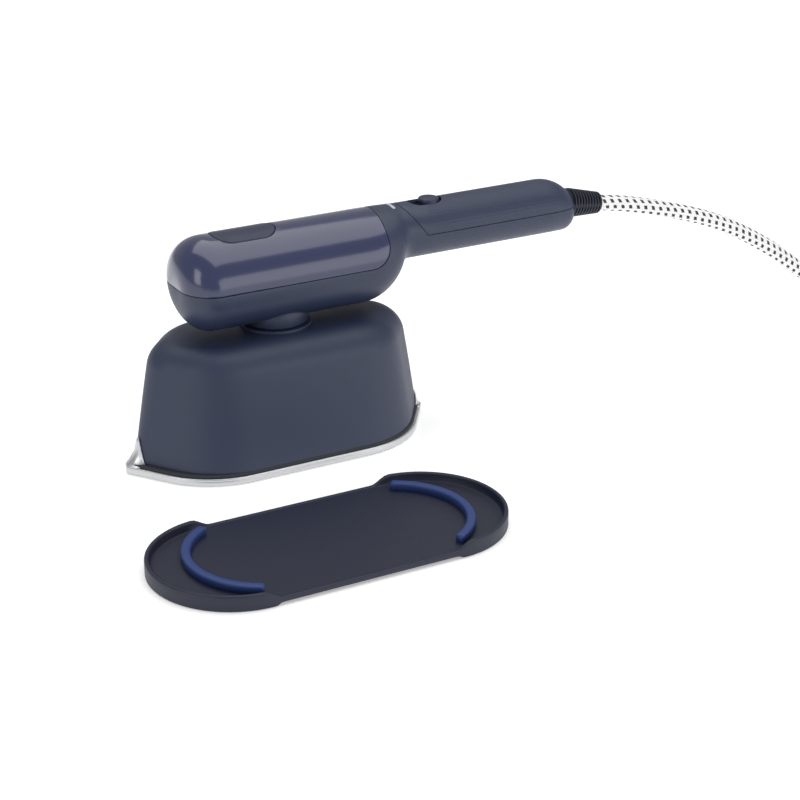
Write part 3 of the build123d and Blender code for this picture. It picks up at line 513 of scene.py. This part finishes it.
def ribbed_sleeve(name, start, stop, base_r, tip_r, ribs):
    """Tapered cord guard with ring ribs, open slots between them and four spines."""
    run = Vector(stop) - Vector(start)
    pitch = run.length / ribs
    turns = 64
    rows = []
    levels = [(SLEEVE_ROOT, True)]
    for number in range(ribs):
        levels += [((number + share) * pitch, high) for share, high in RIB_LEVELS]
    levels.append((run.length, True))
    for height, high in levels:
        radius = base_r + (tip_r - base_r) * max(height, 0.0) / run.length
        row = []
        for number in range(turns):
            angle = 2 * pi * number / turns
            spine = abs(((degrees(angle) + 45) % 90) - 45) < SPINE_HALF_ANGLE
            depth = 0.0 if high else (SPINE_DEPTH if spine else SLOT_DEPTH)
            row.append(((radius - depth) * cos(angle), (radius - depth) * sin(angle), height))
        rows.append(row)
    mouth = [2 * pi * number / turns for number in range(turns)]
    rows.append([(CORD_D / 2 * cos(a), CORD_D / 2 * sin(a), run.length) for a in mouth])
    piece = grid(name, (rows, True), solid=True)
    turn = Vector((0, 0, 1)).rotation_difference(run).to_matrix().to_4x4()
    piece.data.transform(Matrix.Translation(Vector(start) * MM) @ turn)
    return soften(piece, 0.18, 2, 35)


# --- Tank, housing and handle ----------------------------------------------------------------

BODY_R, BODY_Z = 22.1, 85.5
NOSE_X, NOSE_ROUND = -50.2, 16.0
NOSE_LEAN = 0.065             # how far the nose leans forward, per height
HANDLE_R, HANDLE_Z, HANDLE_TOP = 13.4, 94.1, 107.5
HANDLE_END = 160.5
REAR_X = 41.0
NECK_ROUND = 7.0
CURL_X, CURL_R = 143.0, 20.9
HEEL_X, HEEL_R = 154.5, 6.5
SEAM_Z, SEAM_X, SEAM_ROUND = 85.7, 50.3, 10.0
GAP = 0.2


def body_top(x):
    if x > CURL_X:
        return HANDLE_TOP - CURL_R + sqrt(CURL_R**2 - (x - CURL_X) ** 2)
    share = min(max((x - REAR_X) / 30.0, 0.0), 1.0)
    return BODY_Z + BODY_R + share * share * (3 - 2 * share) * (HANDLE_TOP - BODY_Z - BODY_R)


def body_bottom(x):
    handle_bottom = HANDLE_TOP - 2 * HANDLE_R
    neck_z = handle_bottom - NECK_ROUND
    neck_x = REAR_X + sqrt((BODY_R + NECK_ROUND) ** 2 - (BODY_Z - neck_z) ** 2)
    meet_x = REAR_X + (neck_x - REAR_X) * BODY_R / (BODY_R + NECK_ROUND)
    if x <= meet_x:
        return BODY_Z - sqrt(BODY_R**2 - max(x - REAR_X, 0.0) ** 2)
    if x <= neck_x:
        return neck_z + sqrt(NECK_ROUND**2 - (x - neck_x) ** 2)
    heel = min(max(x - HEEL_X, 0.0), HEEL_R)
    return handle_bottom + HEEL_R - sqrt(HEEL_R**2 - heel**2)


def section(x):
    """Centre height and radius of the body's round section at x."""
    ahead = NOSE_X + NOSE_ROUND - x
    if ahead > 0:
        return BODY_Z, BODY_R - NOSE_ROUND + sqrt(max(NOSE_ROUND**2 - ahead**2, 0.0))
    top, bottom = body_top(x), body_bottom(x)
    return (top + bottom) / 2, (top - bottom) / 2


def on_body(x, angle, out=0.0):
    """Point on the body's surface, at an angle from straight up towards +Y."""
    centre, radius = section(x)
    height = centre + (radius + out) * cos(angle)
    lean = min(max((NOSE_X + NOSE_ROUND - x) / NOSE_ROUND, 0.0), 1.0)
    return (x + lean * (0.8 + (86 - height) * NOSE_LEAN), (radius + out) * sin(angle), height)


def height_angle(x, z):
    centre, radius = section(x)
    return acos(min(max((z - centre) / radius, -1.0), 1.0))


def steps(start, stop, count):
    return [start + (stop - start) * number / count for number in range(count + 1)]


nose_stations = [NOSE_X + NOSE_ROUND - NOSE_ROUND * cos(angle) for angle in steps(0, pi / 2, 20)]
straight_stations = steps(NOSE_X + NOSE_ROUND, 40.0, 16)[1:]


def seam_line(side):
    """(x, z) along the tank's lower seam, on the tank's side (1) or the housing's (-1)."""
    line = [(x, SEAM_Z + side * GAP) for x in nose_stations + straight_stations]
    for angle in steps(0, pi / 2, 14)[1:]:
        line.append((
            SEAM_X - SEAM_ROUND - side * GAP + SEAM_ROUND * sin(angle),
            SEAM_Z + SEAM_ROUND + side * GAP - SEAM_ROUND * cos(angle),
        ))
    return line


def tank_rows():
    rows = []
    for x, z in seam_line(1):
        edge = height_angle(x, z)
        rows.append([on_body(x, angle) for angle in steps(-edge, edge, 64)])
    chord = [(rows[0][0][0], y, SEAM_Z + GAP) for x, y, z in rows[0]]
    return [chord] + rows


tank = grid("tank_shell", (tank_rows(), False), flip=True)
thicken(tank, 2.0, 0)
dress(tank, materials["tank"], "handle", "tank", "water_tank")

SIDE_COLUMNS, UNDER_COLUMNS, TOP_COLUMNS = 12, 44, 24
SLANT_X, SLANT_RUN = 74.0, 9.65        # the handle's slanted seam, at its foot and how far it leans
NECK_PROFILE = ((9.0, 61.8), (14.4, 61.8), (14.8, 62.0), (15.0, 62.4), (15.0, 66.0), (15.0, 71.5))


def slant_x(angle):
    """Where the handle's slanted seam crosses a line along the body."""
    return SLANT_X - SLANT_RUN * max(cos(angle), 0.0)


def housing_rows():
    under = []
    for x, z in seam_line(-1):
        edge = height_angle(x, z)
        angles = steps(edge, pi / 2, SIDE_COLUMNS) + steps(pi / 2, 3 * pi / 2, UNDER_COLUMNS)[1:]
        angles += steps(3 * pi / 2, 2 * pi - edge, SIDE_COLUMNS)[1:]
        under.append([on_body(x, angle) for angle in angles])
    centre = [on_body(NOSE_X, pi / 2, -section(NOSE_X)[1])] * len(under[0])
    ring = angles + steps(2 * pi - edge, 2 * pi + edge, TOP_COLUMNS)[1:-1]
    start = SEAM_X + GAP
    collar = []
    for share in steps(0, 1, 30):
        collar.append([on_body(start + (slant_x(a) - start) * share, a) for a in ring])
    lower = []
    curl = [CURL_X + (HANDLE_END - CURL_X) * sin(a) for a in steps(0, pi / 2, 16)[1:]]
    for x in steps(SLANT_X, CURL_X, 30) + curl:
        edge = height_angle(x, HANDLE_Z)
        lower.append([on_body(x, angle) for angle in steps(edge, 2 * pi - edge, UNDER_COLUMNS)])
    end = [(HANDLE_END, 0.0, section(HANDLE_END)[0])] * (UNDER_COLUMNS + 1)
    return [centre] + under, collar, lower + [end]


under_rows, collar_rows, lower_rows = housing_rows()
neck_rows = []
for radius, z in NECK_PROFILE:
    neck_rows.append([(radius * cos(a), radius * sin(a), z) for a in steps(0, 2 * pi, 64)[:-1]])
housing = grid(
    "housing_shell", (under_rows, False), (collar_rows, True), (lower_rows, False), flip=True,
)
thicken(housing, 2.0, 0.25)
dress(housing, materials["grip"], "handle", "housing", "main_housing")
neck = grid("housing_neck", (neck_rows, True))
thicken(neck, 1.2, 0)
dress(neck, materials["housing"], "handle", "housing")


def cover_rows():
    rows = []
    for share in steps(0, 1, 46):
        row = []
        for number in range(49):
            side = -1 + 2 * number / 48
            angle = side * (pi / 2 - 0.028)
            start = slant_x(angle) + 0.35
            x = start + (HANDLE_END - start) * sin(share * pi / 2)
            limit = height_angle(x, HANDLE_Z + 0.35)
            row.append(on_body(x, side * limit))
        rows.append(row)
    return rows + [[(HANDLE_END, 0.0, section(HANDLE_END)[0] + 3.6)] * 49]


def outline_oblong(length, width, count=16):
    """Round-ended outline, its long side along X."""
    half, radius = (length - width) / 2, width / 2
    points = [(half + radius * cos(a), radius * sin(a)) for a in steps(-pi / 2, pi / 2, count)]
    points += [(-half + radius * cos(a), radius * sin(a)) for a in steps(pi / 2, 3 * pi / 2, count)]
    return points


def stacked(name, outline, levels, centre=(0, 0)):
    """Closed solid from an outline repeated at (inset, height) levels."""
    rows = []
    for inset, z in levels:
        rows.append([(centre[0] + x, centre[1] + y, z) for x, y in outline(inset)])
    return grid(name, (rows, True), solid=True)


SLOT_X, SLOT_LENGTH, SLOT_WIDTH = 79.4, 17.2, 10.0
SLOT_FIT = 0.1
KNOB_X = 81.6
top_cover = grid("handle_cover_shell", (cover_rows(), False), flip=True)
thicken(top_cover, 2.0, 0)
cutter = stacked(
    "cutter", lambda inset: outline_oblong(SLOT_LENGTH - 2 * inset, SLOT_WIDTH - 2 * inset, 24),
    ((0, 95.0), (0, 112.0)), (SLOT_X, 0),
)
cut = top_cover.modifiers.new("slot", "BOOLEAN")
cut.operation = "DIFFERENCE"
cut.solver = "EXACT"
cut.object = cutter
bake(top_cover)
bpy.data.objects.remove(cutter)
soften(top_cover, 0.25, 2, 35)
dress(top_cover, materials["grip"], "handle", "housing", "handle_top_cover")

surround = stacked(
    "switch_recess",
    lambda inset: outline_oblong(
        SLOT_LENGTH - SLOT_FIT - 2 * inset, SLOT_WIDTH - SLOT_FIT - 2 * inset, 20,
    ),
    ((0, 101.4), (0, 105.6), (0.1, 105.8), (0.4, 105.8), (0.5, 105.6), (0.7, 104.3), (0.9, 104.1)),
    (SLOT_X, 0),
)
dress(surround, materials["dark_plastic"], "handle", "dark_plastic", "switch_surround")

knob = spun("switch_button", (
    (0, 98.8), (1.6, 98.8), (1.6, 104.5), (4.75, 104.5), (4.95, 104.7), (5.0, 105.5),
    (5.0, 107.3), (4.9, 107.75), (4.6, 108.1), (4.1, 108.25), (3.4, 108.25), (3.0, 108.15),
    (2.0, 108.1), (0, 108.1),
), (KNOB_X, 0, 0))
dress(knob, materials["dark_plastic"], "switch", "dark_plastic", "switch_knob")

LENS_X, LENS_HALF, LENS_ROUND = 60.9, 4.5, 0.85


def lens_rows():
    rows = []
    for across in steps(-LENS_HALF, LENS_HALF, 36):
        past = max(abs(across) - LENS_HALF + LENS_ROUND, 0.0)
        half = max(sqrt(max(LENS_ROUND**2 - past**2, 0.0)), 0.02)
        row = []
        for share in steps(-1, 1, 8):
            x = LENS_X + half * share
            rise = 0.18 * (1 - share**4) * min((LENS_HALF - abs(across)) / 0.4, 1.0)
            row.append(on_body(x, across / section(x)[1], rise + 0.03))
        rows.append(row)
    return rows


lens = grid("indicator_window", (lens_rows(), False))
thicken(lens, 1.0, 0)
dress(lens, materials["indicator"], "handle", "indicator", "indicator_lens")

# --- Filler plug -----------------------------------------------------------------------------

PLUG_FRONT, PLUG_REAR, PLUG_WIDTH = -31.0, -0.2, 18.8
LID_CORNER = 8.5
RECESS_LEVELS = ((-0.35, 3.0), (-0.35, -1.2), (1.0, -1.2), (4.0, -1.2), (8.0, -1.2))


def rounded_box(length, width, radius, count=10):
    points = []
    for turn, (sx, sy) in enumerate(((1, -1), (1, 1), (-1, 1), (-1, -1))):
        cx, cy = sx * (length / 2 - radius), sy * (width / 2 - radius)
        start = -pi / 2 + turn * pi / 2
        angles = steps(start, start + pi / 2, count)
        points += [(cx + radius * cos(a), cy + radius * sin(a)) for a in angles]
        end = length / 2 - radius
        if turn == 1:
            points += [(x, width / 2) for x in steps(end, -end, 8)[1:-1]]
        if turn == 3:
            points += [(x, -width / 2) for x in steps(-end, end, 8)[1:-1]]
    return points


LID_MIDDLE = (PLUG_FRONT + PLUG_REAR) / 2
LID_LENGTH = PLUG_REAR - PLUG_FRONT


def lid_rows(levels):
    """Rounded outline at (inset, height above the tank) levels, bent round the tank's top."""
    rows = []
    for inset, out in levels:
        row = []
        corner = max(LID_CORNER - inset, 0.3)
        for x, y in rounded_box(LID_LENGTH - 2 * inset, PLUG_WIDTH - 2 * inset, corner):
            row.append((LID_MIDDLE + x, y, BODY_Z + sqrt((BODY_R + out) ** 2 - y**2)))
        rows.append(row)
    return rows


recess = grid("recess", (lid_rows(RECESS_LEVELS), True), solid=True)
cut = tank.modifiers.new("recess", "BOOLEAN")
cut.operation = "DIFFERENCE"
cut.solver = "EXACT"
cut.object = recess
bake(tank)
bpy.data.objects.remove(recess)
soften(tank, 0.3)
LID_LEVELS = (
    (8.0, -1.15), (4.0, -1.15), (1.2, -1.15), (0.1, -1.1), (0.0, -0.9), (0.0, -0.2),
    (0.15, 0.1), (0.45, 0.22), (0.9, 0.22), (1.3, 0.12), (2.0, 0.05), (3.5, 0.05),
    (5.0, 0.05), (6.5, 0.05), (8.0, 0.05), (8.6, 0.05),
)
plate = grid("filler_lid", (lid_rows(LID_LEVELS), True), solid=True)
plate.data.materials.append(materials["dark_plastic"])
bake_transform(plate)
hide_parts("filler_plug", "plug_anchor")
stem = spun("filler_stem", (
    (0, 101.4), (2.2, 101.4), (2.5, 101.7), (3.1, 106.2), (3.1, 106.7), (0, 106.7),
), (-18.5, 0, 0), turns=40)
dress(stem, materials["dark_plastic"], "filler", "dark_plastic")

# --- Cord boot -------------------------------------------------------------------------------

boot = ribbed_sleeve("cord_sleeve", (160.0, 0.0, 93.4), (177.8, 0.0, 90.8), 7.4, 5.4, 10)
dress(boot, materials["boot"], "handle", "boot", "cord_boot")

# --- Sole unit -------------------------------------------------------------------------------

SOLE_HALF_LENGTH, SOLE_HALF_WIDTH, SOLE_SIDE_R, SOLE_TIP_R = 77.3, 37.1, 43, 4
SEAL_HALF_LENGTH, SEAL_HALF_WIDTH, SEAL_SIDE_R, SEAL_TIP_R = 76, 36.3, 42, 4
SOLE_TOP = 3.6
COVER_X, COVER_BOTTOM, COVER_TOP = 0.9, 5.1, 60.3
COVER_HALF_LENGTH, COVER_HALF_WIDTH = 64.2, 28.6
NOSE_EDGE, HEEL_EDGE = 10.5, 13.0      # rounding of the cover's upper edge at each end
COVER_NARROWER = 0.93                  # the cover's width at a lip, as a share of the plate's


def hexagon(half_length, half_width, side_r, tip_r, spread=6):
    """Points round a six-sided outline with blunt points on X, all corners rounded."""
    side_x = half_length * 0.675
    point_x = half_length + 0.2 * tip_r
    corners = [
        (point_x, 0), (side_x, half_width), (-side_x, half_width),
        (-point_x, 0), (-side_x, -half_width), (side_x, -half_width),
    ]
    radii = [tip_r, side_r, side_r] * 2
    arcs = []
    for number, (corner, radius) in enumerate(zip(corners, radii)):
        here = Vector(corner)
        before = (Vector(corners[number - 1]) - here).normalized()
        after = (Vector(corners[(number + 1) % 6]) - here).normalized()
        half = before.angle(after) / 2
        centre = here + (before + after).normalized() * radius / sin(half)
        start = here + before * radius / (sin(half) / cos(half)) - centre
        turn = pi - 2 * half
        count = 24 if number % 3 else 16
        arc = [centre + Matrix.Rotation(a, 2) @ start for a in steps(0, turn, count)]
        arcs.append(arc)
    points = []
    for number, arc in enumerate(arcs):
        points += arc
        ahead = arcs[(number + 1) % 6][0]
        points += [arc[-1].lerp(ahead, share) for share in steps(0, 1, spread)[1:-1]]
    return [(point.x, point.y) for point in points]


def rounded_outline(z, rounding):
    """The cover's outline at a height for one rounding of its upper edge."""
    share = (z - COVER_BOTTOM) / (COVER_TOP - COVER_BOTTOM)
    rise = min(max((z - COVER_TOP + rounding) / rounding, 0.0), 1.0)
    inset = rounding * (1 - sqrt(1 - rise * rise))
    return hexagon(
        COVER_HALF_LENGTH + 0.165 * (COVER_TOP - z) - inset,
        COVER_HALF_WIDTH + 0.135 * (COVER_TOP - z) - inset,
        40 - 12 * share - inset,
        5 + 12 * share - inset * 0.98,
    )


def cover_outline(z):
    """The cover's outline at a height, as (x, y) points, its upper edge tighter at the nose."""
    found = []
    ends = zip(rounded_outline(z, NOSE_EDGE), rounded_outline(z, HEEL_EDGE))
    for (x, y), (heel_x, heel_y) in ends:
        share = min(max(x / 110 + 0.5, 0.0), 1.0)
        found.append((COVER_X + x + (heel_x - x) * share, y + (heel_y - y) * share))
    return found


cover_heights = [COVER_BOTTOM, COVER_BOTTOM + 0.5]
cover_heights += steps(COVER_BOTTOM + 1, COVER_TOP - HEEL_EDGE, 12)
cover_heights += [COVER_TOP - HEEL_EDGE + HEEL_EDGE * sin(a) for a in steps(0, pi / 2, 22)[1:]]
cover_rows_found = [[(x, y, z) for x, y in cover_outline(z)] for z in cover_heights]
top_row = cover_rows_found[-1]
for share in (0.75, 0.5, 0.25, 0.0):
    cover_rows_found.append([
        (COVER_X + (x - COVER_X) * share, y * share, z) for x, y, z in top_row
    ])
base_cover = grid("base_shell", (cover_rows_found, True))
thicken(base_cover, 2.0, 0.2)
dress(base_cover, materials["base"], "base", "housing", "base_cover")

sole_profile = (
    (1.6, 0.0), (0.7, 0.0), (0.2, 0.25), (0.0, 0.8), (0.0, 2.3), (0.12, 2.55), (0.12, 2.75),
    (0.0, 2.95), (0.05, 3.35), (0.4, SOLE_TOP), (3.0, SOLE_TOP),
)
sole = stacked("sole_plate_face", lambda inset: hexagon(
    SOLE_HALF_LENGTH - inset, SOLE_HALF_WIDTH - inset, SOLE_SIDE_R - inset, SOLE_TIP_R - inset,
), sole_profile)
steam_holes = [(-24.0, 0.0), (28.0, 0.0), (2.0, 0.0)]
for side in (-1, 1):
    steam_holes += [(x, side * 9.0) for x in (-15.0, -6.5, 10.5, 19.0)]
hole_profile = ((0, -1), (2.1, -1), (1.5, 0.6), (1.5, 3.2), (0, 3.2))
for place in steam_holes:
    hole = spun("hole", hole_profile, (*place, 0), turns=24)
    drill = sole.modifiers.new("hole", "BOOLEAN")
    drill.operation = "DIFFERENCE"
    drill.solver = "EXACT"
    drill.object = hole
    bake(sole)
    bpy.data.objects.remove(hole)
dress(sole, materials["sole"], "base", "sole", "soleplate")

seal = stacked("sole_gasket", lambda inset: hexagon(
    SEAL_HALF_LENGTH - inset, SEAL_HALF_WIDTH - inset, SEAL_SIDE_R - inset, SEAL_TIP_R - inset,
), ((3.0, 3.5), (0.3, 3.5), (0.0, 3.8), (0.0, 4.8), (0.3, 5.1), (2.0, 5.2)))
dress(seal, materials["seal"], "base", "seal", "sole_seal")


def tip_lip(name, side, reach, height, start_z, spread):
    """Thin curved lip that rises from the plate's tip up the cover's end."""
    plate_line = hexagon(SOLE_HALF_LENGTH, SOLE_HALF_WIDTH, SOLE_SIDE_R, SOLE_TIP_R, 16)
    columns = [
        number for number, (x, y) in enumerate(plate_line) if x * side > 0 and abs(y) < spread
    ]
    columns.sort(key=lambda number: plate_line[number][1])
    rows = []
    for share in steps(0, 1, 12):
        row = []
        for number in columns:
            x, y = plate_line[number]
            fade = cos(pi / 2 * min(abs(y) / spread, 1.0)) ** 1.3
            top = start_z + 0.3 + height * fade
            low = Vector((x - side * 0.25, y * 0.995, start_z - 0.2))
            reach_x, reach_y = cover_at(y, side, top)
            high = Vector((reach_x + side * 0.12, reach_y, top))
            bend_x, bend_y = cover_at(y, side, start_z + 0.35 * height * fade)
            bend = Vector((bend_x + side * reach * fade, bend_y, start_z + 0.16 * height * fade))
            point = low * (1 - share) ** 2 + bend * 2 * share * (1 - share) + high * share**2
            row.append(tuple(point))
        rows.append(row)
    piece = grid(name, (rows, False), flip=side > 0)
    wall = piece.modifiers.new("wall", "SOLIDIFY")
    wall.thickness = 0.7 * MM
    wall.offset = -1
    return piece


def cover_at(y, side, z):
    """Point of the cover's outline at a height, above a point of the plate's outline."""
    wanted = y * COVER_NARROWER
    near = [p for p in cover_outline(max(z, COVER_BOTTOM)) if p[0] * side > 0]
    best = min(near, key=lambda p: abs(p[1] - wanted))
    near.sort(key=lambda p: p[1])
    for first, second in zip(near, near[1:]):
        if first[1] <= wanted <= second[1] and second[1] > first[1]:
            share = (wanted - first[1]) / (second[1] - first[1])
            return first[0] + (second[0] - first[0]) * share, wanted
    return best


nose_lip = tip_lip("plate_nose_lip", -1, 0.5, 12.5, SOLE_TOP, 6.0)
dress(nose_lip, materials["sole"], "base", "sole")
heel_lip = tip_lip("plate_heel_lip", 1, 0.4, 7.0, SOLE_TOP, 6.0)
dress(heel_lip, materials["sole"], "base", "sole")

# --- Rest tray -------------------------------------------------------------------------------

TRAY_X, TRAY_Y = -28.5, -109.7
TRAY_LENGTH, TRAY_WIDTH = 165.0, 76.0
RIM_TOP, TRAY_FLOOR, RIM_LOW = 7.2, 3.2, 3.5
STRIP_R, STRIP_CENTRE, STRIP_HALF_ANGLE = 34.2, 30.0, 62.5


def tray_outline(inset):
    """Round-ended outline with extra points along its straight sides."""
    half, radius = (TRAY_LENGTH - TRAY_WIDTH) / 2, TRAY_WIDTH / 2 - inset
    points = [(half + radius * cos(a), radius * sin(a)) for a in steps(-pi / 2, pi / 2, 56)]
    points += [(x, radius) for x in steps(half, -half, 64)[1:-1]]
    points += [(-half + radius * cos(a), radius * sin(a)) for a in steps(pi / 2, 3 * pi / 2, 56)]
    points += [(x, -radius) for x in steps(-half, half, 64)[1:-1]]
    return points


def ramp(x, low, high, start, stop):
    """Height that eases from low to high as |x| goes from start to stop."""
    share = min(max((abs(x) - start) / (stop - start), 0.0), 1.0)
    return low + (high - low) * share * share * (3 - 2 * share)


def tray_rows():
    def rim(x):
        return ramp(x, RIM_LOW, RIM_TOP, 39.5, 48.5)

    def under(x):
        return ramp(x, 1.2, 0.0, 41.0, 44.0)

    levels = (
        (20.0, lambda x: under(x) + 0.6 * (abs(x) > 44)), (3.0, under), (1.0, under),
        (0.25, lambda x: under(x) + 0.1), (0.0, lambda x: under(x) + 0.4),
        (0.0, lambda x: rim(x) - 0.9), (0.1, lambda x: rim(x) - 0.35),
        (0.4, lambda x: rim(x) - 0.08),
        (0.75, rim), (1.3, rim), (1.65, lambda x: rim(x) - 0.08),
        (1.95, lambda x: max(rim(x) - 0.35, TRAY_FLOOR)),
        (2.05, lambda x: max(rim(x) - 0.9, TRAY_FLOOR)),
        (2.15, lambda x: TRAY_FLOOR + 0.35 * (rim(x) - RIM_LOW) / 3.7), (2.5, lambda x: TRAY_FLOOR),
        (4.0, lambda x: TRAY_FLOOR), (20.0, lambda x: TRAY_FLOOR), (36.0, lambda x: TRAY_FLOOR),
    )
    rows = []
    for inset, height in levels:
        rows.append([(TRAY_X + x, TRAY_Y + y, height(x)) for x, y in tray_outline(inset)])
    return rows


tray = grid("tray_dish", (tray_rows(), True), solid=True)
dress(tray, materials["tray"], "tray", "tray", "rest_tray")


def strip_rows(side):
    """Rounded strip swept round an arc, slightly narrower and lower at its two ends."""
    profile = (
        (-2.0, -0.1), (-2.0, 2.9), (-1.85, 3.45), (-1.5, 3.75), (-1.0, 3.86), (0.0, 3.9),
        (1.0, 3.86), (1.5, 3.75), (1.85, 3.45), (2.0, 2.9), (2.0, -0.1),
    )
    centre = 0.0 if side > 0 else pi
    rows = []
    half = radians(STRIP_HALF_ANGLE)
    for angle in steps(-half, half, 72):
        past = (half - abs(angle)) * STRIP_R
        pinch = 1.0 if past > 0.6 else 0.86 + 0.14 * past / 0.6
        row = []
        for across, up in profile:
            reach = STRIP_R + across * pinch
            row.append((
                TRAY_X + side * STRIP_CENTRE + reach * cos(centre + angle),
                TRAY_Y + reach * sin(centre + angle),
                TRAY_FLOOR + up * pinch,
            ))
        rows.append(row)
    return rows


for side, name in ((-1, "tray_strip_left"), (1, "tray_strip_right")):
    strip = grid(name, (strip_rows(side), True), solid=True)
    dress(strip, materials["strip"], "tray", "strip", "tray_strips")

# --- Floor and light -------------------------------------------------------------------------

FLOOR_GLOW, WORLD_LIGHT = 0.32, 0.42


def add_floor():
    mesh = bpy.data.meshes.new("floor")
    mesh.from_pydata([(-6, -6, 0), (6, -6, 0), (6, 6, 0), (-6, 6, 0)], [], [(0, 1, 2, 3)])
    floor = link("floor", mesh)
    floor.location.z = -0.0002
    material, _, shader = new_material("studio floor")
    shader.inputs["Base Color"].default_value = (0.93, 0.93, 0.93, 1)
    shader.inputs["Roughness"].default_value = 0.9
    shader.inputs["Specular IOR Level"].default_value = 0.1
    shader.inputs["Emission Color"].default_value = (1, 1, 1, 1)
    shader.inputs["Emission Strength"].default_value = FLOOR_GLOW
    floor.data.materials.append(material)


def add_light(name, place, target, size, power):
    data = bpy.data.lights.new(name, "AREA")
    data.shape = "RECTANGLE"
    data.size, data.size_y = size
    data.energy = power
    lamp = bpy.data.objects.new(name, data)
    lamp.location = place
    lamp.rotation_euler = (Vector(target) - Vector(place)).to_track_quat("-Z", "Y").to_euler()
    bpy.context.scene.collection.objects.link(lamp)


add_floor()
world = bpy.data.worlds.new("studio")
world.use_nodes = True
sky = world.node_tree.nodes["Background"]
sky.inputs["Color"].default_value = (1, 1, 1, 1)
sky.inputs["Strength"].default_value = WORLD_LIGHT
bpy.context.scene.world = world
bpy.context.scene.view_settings.view_transform = "Standard"
add_light("overhead", (0.25, 0.1, 1.5), (0.05, 0.0, 0.05), (2.2, 1.5), 17)
add_light("front panel", (0.8, -1.35, 0.36), (0.1, 0.0, 0.08), (1.7, 0.66), 6)
add_light("nose panel", (-1.3, -0.45, 0.55), (0.0, 0.0, 0.06), (0.5, 0.8), 3)
